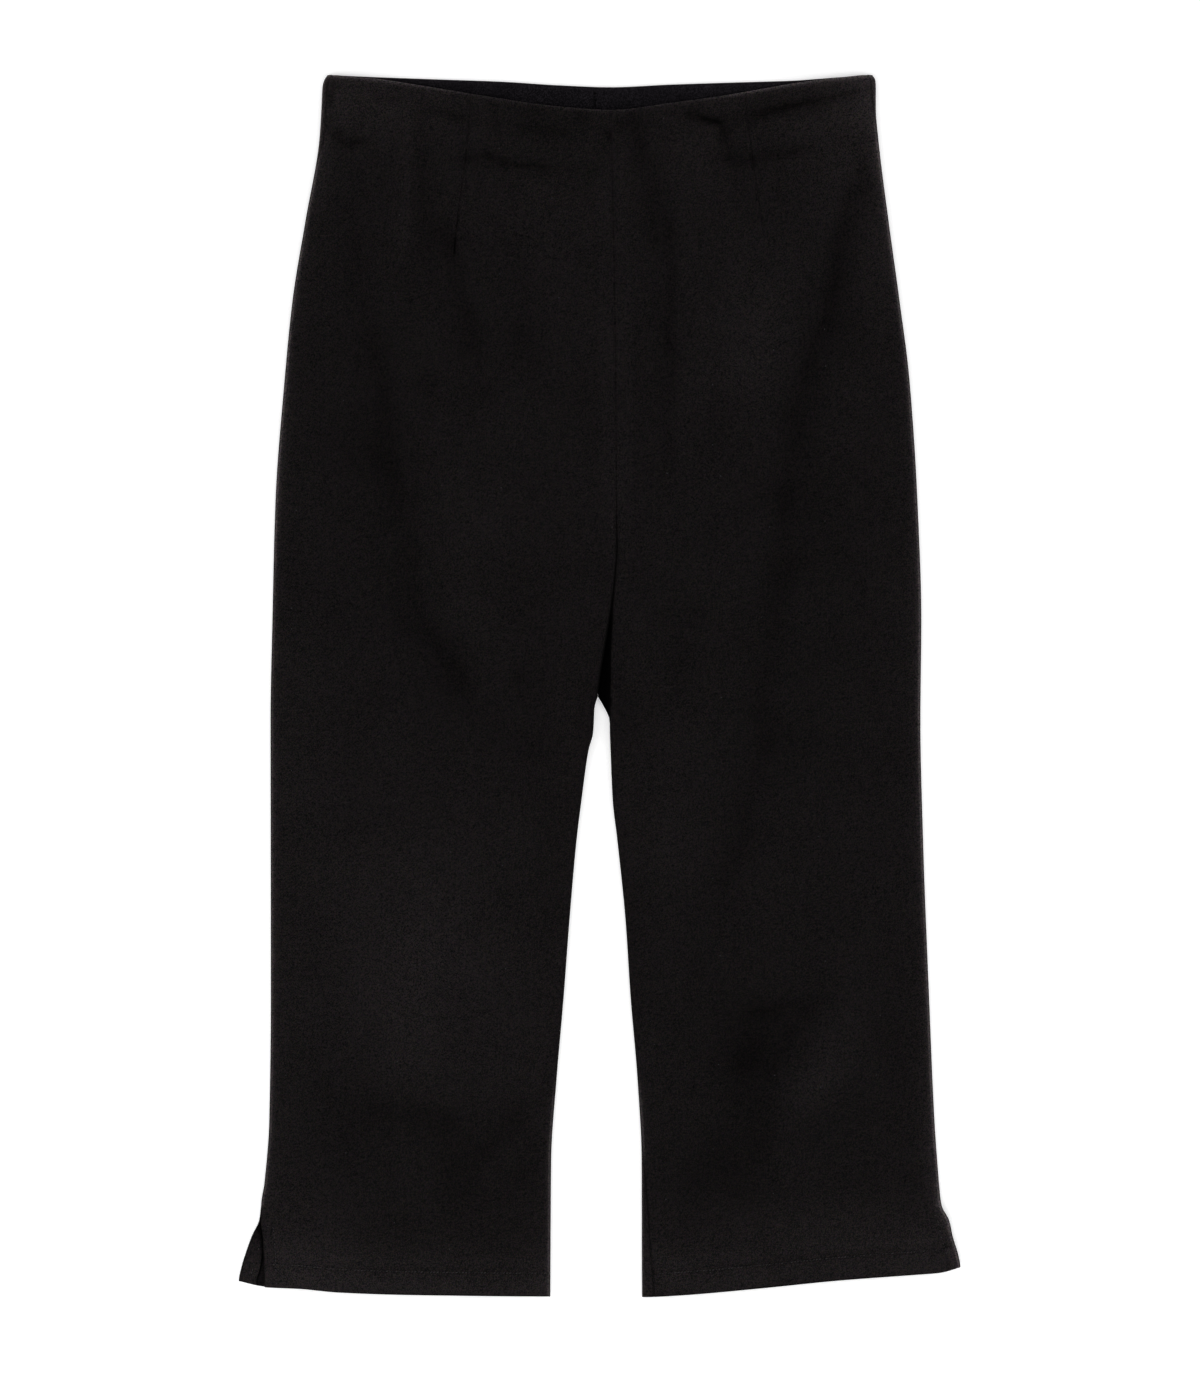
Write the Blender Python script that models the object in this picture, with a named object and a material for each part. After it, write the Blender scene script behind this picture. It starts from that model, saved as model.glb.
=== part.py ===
"""Capri pants lying flat, front up: two fronts, two backs and the facing inside the back waist.

The garment lies in the XY plane. +Y runs from the hems to the waist, +Z is up, and the back
rests on z = 0. Right and left are the wearer's, so the right leg lies on the -X side.
Every table and size is in millimetres, and make_solid turns the points into metres.

Each panel is a grid of points on the cloth's outer face. A row of the grid is one section
across the leg at some height. The inner face is the same grid moved in by the cloth's
thickness, and the two are joined round their rims into one closed wall.
"""

from collections import namedtuple

import bmesh
import bpy
import numpy as np

MM = 0.001

# ---------------------------------------------------------------- driving sizes
CLOTH = 1.0              # wall of every panel and of the facing
HEM_EXTRA = 0.5          # more wall where the hem is turned up
SEAM_GAP = 0.3           # space between two pieces that are sewn together
ROLL_RADIUS = 2.0        # radius of the fold where the cloth turns round an edge
EDGE_TOP = 2 * ROLL_RADIUS
LOFT = 1.9               # how much higher the front lies away from its edges
LOFT_REACH = 26.0        # distance from an edge over which the loft builds up

WAIST_TOP = 391.0        # highest point of the waist, at the side seams
HEM_LOW = -391.0         # lowest point of the hems
CROTCH = -7.0            # where the four panels meet
HEM_DEPTH = 15.0         # turn-up of the hems
HEM_STEP = 3.0           # height over which the wall gains the hem's extra
HEM_RIM = 6.0            # ... and width over which it loses it again at the rolled edges
FACING_DEPTH = 30.0      # depth of the waist facings
FACING_RIDGE = 0.5       # step that the front facing prints through the front
FACING_STEP = 4.0        # height over which that step builds up
FACING_BELOW = 0.6       # the back facing ends this far below the waist edge
FACING_FROM_SIDE = 6.0   # ... and this far from the side edge, inside the rolled cloth
FACING_ROWS = 5
FACING_COLUMNS = 15
SLIT_EASE = 14.0         # length over which the rolled edge opens out at a slit
END_BEND = 90.0          # length over which level sections bend to follow hem and waist
FAR = 200.0              # farther from an edge than anything that the edge shapes
PAST_ROLL = 0.2          # a column this far past the roll marks where the flat cloth starts
DART_DEPTH = 0.7         # groove along a dart's stitching
DART_WIDTH = 2.4
DART_FADE = 20.0         # length over which the groove runs out

# ---------------------------------------------------------------- tables
# Side edges, as distances from the centre line. Below the slit's top the front and the
# back part from each other, and one of them flares out as a flap.
SideRow = namedtuple("SideRow", "height right_front right_back left_front left_back")
SIDE_EDGES = (
    SideRow(391.0, 174.2, 174.2, 174.6, 174.6),
    SideRow(388.0, 176.1, 176.1, 176.5, 176.5),
    SideRow(384.0, 177.3, 177.3, 176.9, 176.9),
    SideRow(370.0, 178.0, 178.0, 176.9, 176.9),
    SideRow(350.0, 179.3, 179.3, 178.5, 178.5),
    SideRow(298.0, 188.2, 188.2, 185.0, 185.0),
    SideRow(247.0, 196.5, 196.5, 192.0, 192.0),
    SideRow(196.0, 201.6, 201.6, 198.4, 198.4),
    SideRow(119.0, 207.4, 207.4, 203.5, 203.5),
    SideRow(42.0, 209.4, 209.4, 206.0, 206.0),
    SideRow(-22.0, 210.6, 210.6, 205.4, 205.4),
    SideRow(-98.0, 210.5, 210.5, 207.1, 207.1),
    SideRow(-200.0, 210.4, 210.4, 211.0, 211.0),
    SideRow(-278.0, 211.4, 211.4, 214.4, 214.4),
    SideRow(-318.0, 214.5, 214.5, 217.3, 217.3),
    SideRow(-332.0, 216.6, 216.6, 218.9, 218.4),
    SideRow(-342.0, 216.7, 218.0, 223.8, 221.2),
    SideRow(-352.0, 215.5, 222.6, 226.0, 223.4),
    SideRow(-364.0, 214.8, 226.9, 229.6, 227.2),
    SideRow(-372.0, 214.5, 229.3, 231.0, 228.8),
    SideRow(-381.0, 214.4, 231.0, 231.0, 228.8),
    SideRow(-391.0, 214.4, 231.0, 231.0, 228.8),
)

# Centre seams above the crotch. The shelf is the strip of the left front that lies low in
# the fold between the legs and stands out past the left leg's upper fold.
CentreRow = namedtuple("CentreRow", "height front back shelf")
CENTRE_SEAMS = (
    CentreRow(391.0, 6.8, -2.9, 0.0),
    CentreRow(209.0, 10.2, -2.3, 0.0),
    CentreRow(106.0, 10.9, -1.7, 0.0),
    CentreRow(90.0, 11.2, -1.6, 0.0),
    CentreRow(74.0, 10.2, -1.5, 0.0),
    CentreRow(55.0, 8.3, -1.4, 0.0),
    CentreRow(42.0, 6.4, -1.3, 1.3),
    CentreRow(23.0, 3.2, -1.2, 3.4),
    CentreRow(4.0, 0.1, -1.1, 6.3),
    CentreRow(CROTCH, -1.1, -1.1, 7.3),
    CentreRow(-14.0, -1.1, -1.1, 3.2),
    CentreRow(-22.0, -1.1, -1.1, 0.0),
)

# Inner edges of the legs below the crotch.
InseamRow = namedtuple("InseamRow", "height right left")
INSEAMS = (
    InseamRow(CROTCH, -1.3, -0.9),
    InseamRow(-14.0, -3.2, 3.2),
    InseamRow(-22.0, -3.6, 6.4),
    InseamRow(-30.0, -4.1, 6.6),
    InseamRow(-41.0, -7.0, 7.0),
    InseamRow(-73.0, -11.5, 8.4),
    InseamRow(-99.0, -14.7, 11.4),
    InseamRow(-150.0, -19.2, 16.6),
    InseamRow(-200.0, -23.0, 19.9),
    InseamRow(-252.0, -27.5, 24.3),
    InseamRow(-303.0, -30.9, 26.9),
    InseamRow(-391.0, -31.5, 27.1),
)

# Heights along the inner edges: the top of the fold, then, for each leg, the low edge of
# the front's cloth beneath it and how far the back's edge is turned up to meet it.
FoldRow = namedtuple("FoldRow", "height fold_top right_front right_back left_front left_back")
INNER_FOLD = (
    FoldRow(391.0, 4.9, 4.6, 0.0, 4.6, 0.0),
    FoldRow(330.0, 5.7, 5.3, 0.0, 5.3, 0.0),
    FoldRow(130.0, 6.0, 5.5, 0.0, 5.5, 0.0),
    FoldRow(108.0, 6.3, 5.1, 0.0, 5.1, 0.0),
    FoldRow(90.0, 6.9, 3.8, 0.0, 3.8, 0.0),
    FoldRow(72.0, 7.2, 3.6, 0.0, 3.6, 0.0),
    FoldRow(55.0, 7.5, 3.0, 0.0, 3.0, 0.0),
    FoldRow(20.0, 7.9, 2.7, 0.0, 2.4, 0.0),
    FoldRow(5.0, 7.8, 2.7, 0.5, 2.3, 0.0),
    FoldRow(-2.0, 7.5, 2.7, 1.2, 2.3, 0.0),
    FoldRow(CROTCH, 7.2, 2.15, 1.85, 2.3, 0.0),
    FoldRow(-14.0, 6.9, 2.0, 2.0, 2.3, 0.0),
    FoldRow(-22.0, 6.5, 2.0, 2.0, 2.3, 0.0),
    FoldRow(-30.0, 6.0, 2.0, 2.0, 2.6, 1.0),
    FoldRow(-40.0, 5.5, 2.0, 2.0, 2.0, 2.0),
    FoldRow(-60.0, 4.8, 2.0, 2.0, 2.0, 2.0),
    FoldRow(-100.0, 4.0, 2.0, 2.0, 2.0, 2.0),
    FoldRow(-391.0, 4.0, 2.0, 2.0, 2.0, 2.0),
)

# How far each seam lies in from the edge, up on the front side.
SeamRow = namedtuple("SeamRow", "height right_side left_side left_inseam")
SEAM_SHIFTS = (
    SeamRow(391.0, 4.4, 4.6, 0.0),
    SeamRow(375.0, 4.4, 3.6, 0.0),
    SeamRow(350.0, 4.0, 1.0, 0.0),
    SeamRow(334.0, 1.6, 0.0, 0.0),
    SeamRow(316.0, 0.0, 0.0, 0.0),
    SeamRow(-262.0, 0.0, 0.0, 0.0),
    SeamRow(-320.0, 0.0, 0.0, 4.0),
    SeamRow(-391.0, 0.0, 0.0, 9.0),
)

# Waist edges from side to side: the front dips in the middle and the back stays high.
WaistRow = namedtuple("WaistRow", "across front back")
WAIST_EDGES = (
    WaistRow(-168.0, 390.7, 391.0),
    WaistRow(-140.0, 388.1, 389.8),
    WaistRow(-102.0, 382.3, 388.4),
    WaistRow(-63.0, 375.8, 387.0),
    WaistRow(-25.0, 370.5, 384.6),
    WaistRow(7.0, 368.4, 383.4),
    WaistRow(45.0, 372.9, 385.1),
    WaistRow(84.0, 378.5, 386.4),
    WaistRow(104.0, 382.1, 387.0),
    WaistRow(122.0, 385.3, 387.6),
    WaistRow(140.0, 387.8, 388.9),
    WaistRow(168.0, 390.8, 391.0),
)

# Hem edges from side to side.
HemRow = namedtuple("HemRow", "across front back")
HEM_EDGES = (
    HemRow(-231.0, -381.0, -381.0),
    HemRow(-214.4, -384.8, -384.4),
    HemRow(-192.0, -385.6, -385.9),
    HemRow(-167.0, -387.9, -388.3),
    HemRow(-120.0, -389.5, -389.9),
    HemRow(-31.0, -390.6, -390.8),
    HemRow(27.0, -391.0, -391.0),
    HemRow(52.0, -389.8, -389.6),
    HemRow(103.0, -385.3, -385.0),
    HemRow(154.0, -380.2, -379.8),
    HemRow(205.0, -376.4, -376.0),
    HemRow(218.0, -375.4, -374.8),
    HemRow(231.0, -372.0, -371.6),
)

# Darts of the two fronts, from the waist edge to the point, as a share of the way from the
# side edge to the centre seam, so that they follow a column of the grid.
DartRow = namedtuple("DartRow", "share_at_waist share_at_point point_height")
DARTS = {
    "right": DartRow(0.515, 0.492, 274.0),
    "left": DartRow(0.492, 0.462, 283.0),
}

# Where the loft is pressed down: the waist, the hems and the front's flap beside a slit.
PressRow = namedtuple("PressRow", "start reach share")
PRESSED_WAIST = PressRow(335.0, 50.0, 0.45)
PRESSED_HEM = PressRow(-350.0, 40.0, 0.35)
PRESSED_SLIT = PressRow(20.0, 40.0, 0.7)
# Folds and the facing's step end this far from the edges, and folds nearly end at the facing.
CLEAR_OF_EDGES = 12.0
FOLD_AT_FACING = 0.3
FACING_BLEND = 6.0

# Slits at the side hems.
SLIT_TOP = {"right": -341.5, "left": -330.0}

# Largest folds of the fronts: a soft trough (or a ridge, with a negative depth) along a path.
# Over the first and last FOLD_END of its path a fold fades to END_SHARE of its depth.
FOLD_END = 0.15
END_SHARE = 0.3
FoldLine = namedtuple("FoldLine", "name depth half_width path")
FOLD_LINES = (
    FoldLine("right thigh", 2.2, 15.0,
             ((-156, 318), (-150, 250), (-138, 180), (-126, 90), (-104, 24), (-66, -24),
              (-24, -38))),
    FoldLine("left thigh", 2.3, 15.0,
             ((170, 338), (152, 270), (130, 186), (119, 110), (106, 20), (90, -66), (74, -130))),
    FoldLine("beside the centre", 1.5, 13.0,
             ((22, 352), (31, 330), (45, 290), (45, 220), (42, 150))),
    FoldLine("right dart", 1.2, 11.0,
             ((-111, 346), (-112, 300), (-112, 262))),
    FoldLine("right hip ridge", -0.7, 13.0,
             ((-128, 350), (-129, 300), (-128, 255))),
    FoldLine("left waist hook", 1.0, 9.0,
             ((55, 352), (76, 348), (85, 335), (91, 315))),
    FoldLine("left calf", 2.5, 15.0,
             ((134, -190), (117, -232), (105, -262), (102, -298), (88, -328), (62, -334))),
    FoldLine("left calf ridge", -1.0, 14.0,
             ((158, -200), (146, -240), (128, -276), (118, -306))),
    FoldLine("right calf", 1.7, 13.0,
             ((-168, -262), (-134, -263), (-115, -280), (-96, -318))),
    FoldLine("right inner calf", 1.4, 12.0,
             ((-45, -268), (-62, -284), (-78, -300))),
    FoldLine("left seat", 1.2, 10.0,
             ((34, 44), (62, 43), (92, 45))),
)

# Sections along the legs: bands of evenly spaced rows, closer where the form changes. The
# front and the back share their rows where the seam between them wanders off the edge.
Band = namedtuple("Band", "low high rows")
FRONT_BANDS = (
    Band(-391.0, -361.0, 3),
    Band(-361.0, -325.0, 4),
    Band(-325.0, -262.0, 3),
    Band(-262.0, -50.0, 10),
    Band(-50.0, -22.0, 2),
    Band(-22.0, 8.0, 5),
    Band(8.0, 110.0, 8),
    Band(110.0, 320.0, 9),
    Band(320.0, 384.0, 5),
    Band(384.0, 391.0, 2),
)
BACK_BANDS = (
    Band(-391.0, -361.0, 3),
    Band(-361.0, -325.0, 4),
    Band(-325.0, -262.0, 3),
    Band(-262.0, -50.0, 5),
    Band(-50.0, -22.0, 2),
    Band(-22.0, 20.0, 6),
    Band(20.0, 320.0, 6),
    Band(320.0, 384.0, 5),
    Band(384.0, 391.0, 2),
)

SHARP_ANGLE = np.radians(50)
CLOTH_COLOUR = (0.0075, 0.0065, 0.0068, 1.0)
CLOTH_ROUGHNESS = 0.85
FACING_COLOUR = (0.0052, 0.0047, 0.0062, 1.0)
FACING_ROUGHNESS = 0.9


# ---------------------------------------------------------------- curves through the tables
def column(table, name):
    return np.array([getattr(row, name) for row in table], float)


def curve(table, key, name, at):
    """A smooth curve through one column of a table that never swings past its rows."""
    x = column(table, key)
    y = column(table, name)
    if x[0] > x[-1]:
        x = x[::-1]
        y = y[::-1]
    step = np.diff(x)
    slope = np.diff(y) / step
    tangent = np.zeros_like(y)
    same_way = slope[1:] * slope[:-1] > 0
    mean = 2 * slope[1:] * slope[:-1] / np.where(same_way, slope[1:] + slope[:-1], 1.0)
    tangent[1:-1] = np.where(same_way, mean, 0.0)
    tangent[0] = slope[0]
    tangent[-1] = slope[-1]
    at = np.clip(at, x[0], x[-1])
    i = np.clip(np.searchsorted(x, at) - 1, 0, len(step) - 1)
    t = (at - x[i]) / step[i]
    start = (1 + 2 * t) * (1 - t) ** 2 * y[i] + t * (1 - t) ** 2 * step[i] * tangent[i]
    end = t ** 2 * (3 - 2 * t) * y[i + 1] + t ** 2 * (t - 1) * step[i] * tangent[i + 1]
    return start + end


def smooth(t):
    t = np.clip(t, 0.0, 1.0)
    return t * t * (3 - 2 * t)


def band_rows(bands):
    """Heights of all sections, from the hem to the waist."""
    parts = [np.linspace(band.low, band.high, band.rows, endpoint=False) for band in bands]
    return np.concatenate(parts + [[bands[-1].high]])


# ---------------------------------------------------------------- the garment's edges
def outward(leg):
    return -1.0 if leg == "right" else 1.0


def side_edge(leg, panel, height):
    return outward(leg) * curve(SIDE_EDGES, "height", f"{leg}_{panel}", height)


def inner_edge(leg, panel, height):
    """Centre seam above the crotch, less half the seam's gap, and inner edge below it."""
    centre = curve(CENTRE_SEAMS, "height", panel, height) + outward(leg) * SEAM_GAP / 2
    inseam = curve(INSEAMS, "height", leg, height)
    return np.where(height > CROTCH, centre, inseam)


def side_drop(leg, height):
    """How far an edge of the cloth turns at the side: half the pants' thickness, or
    nothing where the slit lets the two edges lie flat."""
    return ROLL_RADIUS * (1 - smooth((SLIT_TOP[leg] - height) / SLIT_EASE + 0.5))


def side_shift(leg, height):
    return curve(SEAM_SHIFTS, "height", f"{leg}_side", height)


def inseam_shift(leg, height):
    return curve(SEAM_SHIFTS, "height", "left_inseam", height) * (leg == "left")


def fold_drop(leg, height):
    """How far the front's cloth falls at the inner edge, from the fold's top."""
    top = curve(INNER_FOLD, "height", "fold_top", height)
    return top - curve(INNER_FOLD, "height", f"{leg}_front", height)


# Angle that an arc of cloth must turn through to fall a given distance.
ROLL_LENGTH = ROLL_RADIUS * np.pi / 2
TURNS = np.linspace(0.001, np.pi / 2, 60)
FALLS = ROLL_LENGTH / TURNS * (1 - np.cos(TURNS))


def rolled(drop, along):
    """Distance across and down to a point that is `along` the cloth from an edge that
    turns down by `drop`. The turn takes up ROLL_LENGTH of cloth, and a drop past the
    roll's radius stretches the quarter circle into a quarter ellipse."""
    turn = np.interp(drop, FALLS, TURNS)
    left = turn * np.clip(1 - along / ROLL_LENGTH, 0.0, 1.0)
    deep = np.maximum(drop / ROLL_RADIUS, 1.0)
    across = ROLL_LENGTH / turn * (np.sin(turn) - np.sin(left)) * np.sqrt(deep)
    across = across + np.maximum(along - ROLL_LENGTH, 0.0)
    down = ROLL_LENGTH / turn * (1 - np.cos(left)) * deep
    return across, down


# ---------------------------------------------------------------- heights of the front
def along_path(path, x, y):
    """Distance from a path and share of the way along it, for every point."""
    path = np.array(path, float)
    nearest = np.full(x.shape, np.inf)
    share = np.zeros(x.shape)
    lengths = np.linalg.norm(np.diff(path, axis=0), axis=1)
    before = 0.0
    for start, end, length in zip(path[:-1], path[1:], lengths):
        step = (end - start) / length
        t = np.clip((x - start[0]) * step[0] + (y - start[1]) * step[1], 0.0, length)
        distance = np.hypot(x - start[0] - t * step[0], y - start[1] - t * step[1])
        share = np.where(distance < nearest, (before + t) / lengths.sum(), share)
        nearest = np.minimum(nearest, distance)
        before += length
    return nearest, share


def fold_relief(x, y):
    """Depth of all the large folds together. Each fades out towards its two ends."""
    depth = np.zeros(x.shape)
    for fold in FOLD_LINES:
        distance, share = along_path(fold.path, x, y)
        fade = smooth(share / FOLD_END + END_SHARE) * smooth((1 - share) / FOLD_END + END_SHARE)
        depth += fold.depth * fade * np.exp(-(distance / fold.half_width) ** 2)
    return depth


def dart_line(leg, height, width):
    """Distance of the dart's stitching from the side edge."""
    dart = DARTS[leg]
    t = smooth((height - dart.point_height) / (WAIST_TOP - dart.point_height))
    return width * (dart.share_at_point + (dart.share_at_waist - dart.share_at_point) * t)


def dart_groove(leg, from_side, width, height):
    """A narrow groove along the dart's stitching, which runs out at the dart's point."""
    distance = np.abs(from_side - dart_line(leg, height, width))
    length = smooth((height - DARTS[leg].point_height) / DART_FADE + END_SHARE)
    return DART_DEPTH * length * np.maximum(1 - distance / DART_WIDTH, 0.0)


def pressed(row, distance):
    return row.share * smooth(distance / row.reach)


def top_height(leg, x, y, from_side, from_inner):
    """Height of the front's outer face, away from the rolled edges."""
    loft = LOFT * (1 - pressed(PRESSED_WAIST, y - PRESSED_WAIST.start)
                   - pressed(PRESSED_HEM, PRESSED_HEM.start - y))
    fold_top = curve(INNER_FOLD, "height", "fold_top", y)
    body = EDGE_TOP + loft * smooth(from_side / LOFT_REACH)
    inner = (fold_top - EDGE_TOP - loft) * smooth(1 - from_inner / LOFT_REACH)
    slit = pressed(PRESSED_SLIT, SLIT_TOP[leg] - y) * smooth(1 - from_side / PRESSED_SLIT.start)
    above_facing = y - curve(WAIST_EDGES, "across", "front", x) + FACING_DEPTH
    facing = FACING_RIDGE * smooth(above_facing / FACING_STEP)
    clear = smooth(from_side / CLEAR_OF_EDGES) * smooth(from_inner / CLEAR_OF_EDGES)
    free = clear * (1 - (1 - FOLD_AT_FACING) * smooth(above_facing / FACING_BLEND))
    groove = dart_groove(leg, from_side, from_side + from_inner, y)
    return body + inner - slit + clear * facing - free * fold_relief(x, y) - groove


# ---------------------------------------------------------------- grids of points
# Columns of a front: along the cloth of the roll at each edge, and evenly spaced between
# the rolls and the dart. Columns of a back: round each edge, and evenly spaced between.
ROLL_STEPS = (0.0, 0.12, 0.85, 1.7, 2.55, ROLL_LENGTH + PAST_ROLL)
COLUMNS_TO_DART = 6
WRAP_SHARES = (0.0, 0.03, 0.2, 0.36, 0.52, 0.68, 0.84, 1.0)
BACK_COLUMNS = 5


def bent_rows(rows, x, panel):
    """Heights of one column's points: level sections in the middle, and bent near the
    two ends so that the first and last rows follow the hem and the waist."""
    waist = curve(WAIST_EDGES, "across", panel, x) - WAIST_TOP
    hem = curve(HEM_EDGES, "across", panel, x) - HEM_LOW
    near_waist = smooth((rows - WAIST_TOP) / END_BEND + 1)
    near_hem = smooth((HEM_LOW - rows) / END_BEND + 1)
    return rows + waist * near_waist + hem * near_hem


def between(first, last, count):
    """Evenly spaced columns between two, with both of them."""
    return [first + (last - first) * k / count for k in range(count + 1)]


def seam_gap_along(y):
    """Half the seam's gap, where the seam runs round a rolled edge."""
    return np.where(y > CROTCH, 0.0, SEAM_GAP / 2)


def front_columns(leg, y):
    """Side edge, width, distance in from the side edge and drop below the loft of all
    the columns of a front, at the heights y."""
    side = side_edge(leg, "front", y)
    width = np.abs(side - inner_edge(leg, "front", y))
    side_in = []
    inner_in = []
    for step in ROLL_STEPS:
        side_in.append(rolled(side_drop(leg, y), side_shift(leg, y) + SEAM_GAP / 2 + step))
        inner_in.append(rolled(fold_drop(leg, y), inseam_shift(leg, y) + seam_gap_along(y) + step))
    shelf = curve(CENTRE_SEAMS, "height", "shelf", y) * (leg == "left")
    for k, (across, down) in enumerate(inner_in):
        inner_in[k] = (width - across - shelf * (k > 0), down)
    dart = dart_line(leg, y, width)
    flat = between(side_in[-1][0], dart - DART_WIDTH, COLUMNS_TO_DART)[1:] + [dart]
    flat += between(dart + DART_WIDTH, inner_in[-1][0], COLUMNS_TO_DART)[:-1]
    columns = side_in + [(from_side, 0 * y) for from_side in flat] + inner_in[::-1]
    return side, width, columns


def front_grid(leg):
    """Points of a front's outer face, rows from the hem up and columns from the side in."""
    rows = band_rows(FRONT_BANDS)
    side, width, columns = front_columns(leg, rows)
    points = []
    for k, (from_side, drop) in enumerate(columns):
        y = bent_rows(rows, side - outward(leg) * from_side, "front")
        side_here, width_here, columns_here = front_columns(leg, y)
        from_side, drop = columns_here[k]
        x = side_here - outward(leg) * from_side
        z = top_height(leg, x, y, from_side, width_here - from_side) - drop
        points.append(np.stack([x, y, z], 1))
    return np.stack(points, 1)


def back_columns(leg, y):
    """Points of all the columns of a back at the heights y. At each edge the cloth starts
    at the seam up on the front side, and wraps round the edge to the flat underside."""
    edges = (
        (side_edge(leg, "back", y), -outward(leg), side_shift(leg, y) - SEAM_GAP / 2,
         side_drop(leg, y), side_drop(leg, y)),
        (inner_edge(leg, "back", y), outward(leg), inseam_shift(leg, y) - seam_gap_along(y),
         fold_drop(leg, y), curve(INNER_FOLD, "height", f"{leg}_back", y)),
    )
    wraps = []
    for edge, inwards, start, drop, rise in edges:
        wrap = []
        for share in WRAP_SHARES:
            along = start - share * (start + ROLL_LENGTH + PAST_ROLL)
            across_top, down = rolled(drop, np.maximum(along, 0.0))
            across_low, up = rolled(rise, np.maximum(-along, 0.0))
            across = np.where(along > 0, across_top, across_low)
            x = edge + inwards * across
            from_edges = (across, FAR + 0 * y) if len(wraps) == 0 else (FAR + 0 * y, across)
            top = top_height(leg, x, y, *from_edges) - down
            wrap.append(np.stack([x, y, np.where(along > 0, top, up)], 1))
        wraps.append(wrap)
    side, inner = wraps
    return side[:-1] + between(side[-1], inner[-1], BACK_COLUMNS) + inner[-2::-1]


def back_grid(leg):
    """Points of a back's outer face, rows from the hem up and columns from the side in."""
    rows = band_rows(BACK_BANDS)
    points = []
    for k, level in enumerate(back_columns(leg, rows)):
        y = bent_rows(rows, level[:, 0], "back")
        points.append(back_columns(leg, y)[k])
    return np.stack(points, 1)


def facing_grid(leg):
    """The facing lies on the inside of its back, clear of the side's roll."""
    middle = WAIST_TOP - FACING_DEPTH / 2
    side = side_edge(leg, "back", middle) - outward(leg) * FACING_FROM_SIDE
    x = np.linspace(side, inner_edge(leg, "back", middle), FACING_COLUMNS)
    top = curve(WAIST_EDGES, "across", "back", x) - FACING_BELOW
    y = top - FACING_DEPTH * np.linspace(1.0, 0.0, FACING_ROWS)[:, None]
    z = np.full(y.shape, CLOTH + SEAM_GAP + CLOTH)
    return np.stack([np.broadcast_to(x, y.shape), y, z], 2)


# ---------------------------------------------------------------- solids
def unit(vectors):
    return vectors / np.linalg.norm(vectors, axis=-1, keepdims=True)


def bisected_tangents(points):
    """Direction of the grid's lines along its first axis, halfway between the two
    segments that meet at each point."""
    steps = unit(np.diff(points, axis=0))
    inside = unit(steps[1:] + steps[:-1])
    return np.concatenate([steps[:1], inside, steps[-1:]])


def thickness(points, panel):
    """The wall is thicker where the hem is turned up, but not round the rolled edges."""
    x = points[..., 0]
    y = points[..., 1]
    if panel == "facing":
        return np.full(y.shape, CLOTH)
    from_rims = np.minimum(np.abs(x - x[:, :1]), np.abs(x - x[:, -1:]))
    turned_up = 1 - smooth((y - y[0] - HEM_DEPTH) / HEM_STEP)
    return CLOTH + HEM_EXTRA * turned_up * smooth((from_rims - ROLL_RADIUS) / HEM_RIM)


def make_solid(name, leg, outer, panel, material):
    """A closed wall between a grid of outer points and the same grid moved inwards."""
    mirrored = (leg == "left") != (panel == "back")
    across = bisected_tangents(outer.swapaxes(0, 1)).swapaxes(0, 1)
    normal = unit(np.cross(across, bisected_tangents(outer))) * (-1 if mirrored else 1)
    inner = outer - normal * thickness(outer, panel)[..., None]
    rows, columns = outer.shape[:2]
    mesh = bpy.data.meshes.new(name)
    bm = bmesh.new()
    skins = [[[bm.verts.new(p * MM) for p in line] for line in grid] for grid in (outer, inner)]
    outside, inside = skins

    def face(a, b, c, d):
        bm.faces.new((d, c, b, a) if mirrored else (a, b, c, d))

    for i in range(rows - 1):
        for j in range(columns - 1):
            face(outside[i][j], outside[i][j + 1], outside[i + 1][j + 1], outside[i + 1][j])
            face(inside[i][j], inside[i + 1][j], inside[i + 1][j + 1], inside[i][j + 1])
    for i in range(rows - 1):
        for j in (0, columns - 1):
            rim = (outside[i][j], outside[i + 1][j], inside[i + 1][j], inside[i][j])
            face(*(rim if j == 0 else rim[::-1]))
    for j in range(columns - 1):
        for i in (0, rows - 1):
            rim = (outside[i][j], inside[i][j], inside[i][j + 1], outside[i][j + 1])
            face(*(rim if i == 0 else rim[::-1]))
    bmesh.ops.triangulate(bm, faces=bm.faces[:])
    bm.to_mesh(mesh)
    bm.free()
    mesh.materials.append(material)
    mesh.shade_smooth()
    mesh.set_sharp_from_angle(angle=SHARP_ANGLE)
    solid = bpy.data.objects.new(name, mesh)
    bpy.context.scene.collection.objects.link(solid)
    print(f"{name}: {len(mesh.polygons)} triangles")
    return solid


def cloth_material(name, colour, roughness):
    material = bpy.data.materials.new(name)
    material.use_nodes = True
    shader = material.node_tree.nodes["Principled BSDF"]
    shader.inputs["Base Color"].default_value = colour
    shader.inputs["Roughness"].default_value = roughness
    shader.inputs["Metallic"].default_value = 0.0
    return material


def main():
    for old in list(bpy.data.objects):
        bpy.data.objects.remove(old)
    for leg in ("right", "left"):
        cloth = cloth_material(f"stretch_cloth_{leg}", CLOTH_COLOUR, CLOTH_ROUGHNESS)
        facing = cloth_material(f"facing_cloth_{leg}", FACING_COLOUR, FACING_ROUGHNESS)
        make_solid(f"front_{leg}", leg, front_grid(leg), "front", cloth)
        make_solid(f"back_{leg}", leg, back_grid(leg), "back", cloth)
        make_solid(f"back_waist_facing_{leg}", leg, facing_grid(leg), "facing", facing)


main()
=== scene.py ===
# %% [markdown]
# # Capri pants lying flat
#
# The garment lies front up on a pale floor: two front panels, two back panels under them,
# and the facing that shows inside the back of the waist. A frame of six stiff solids says
# where each panel lies, and it stays as it is. This lesson cuts finer cloth to the same
# lines, lays in the creases, seams and stitches, and gives the cloth its weave.

# %% Load the frame
from collections import namedtuple
from math import radians

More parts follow.
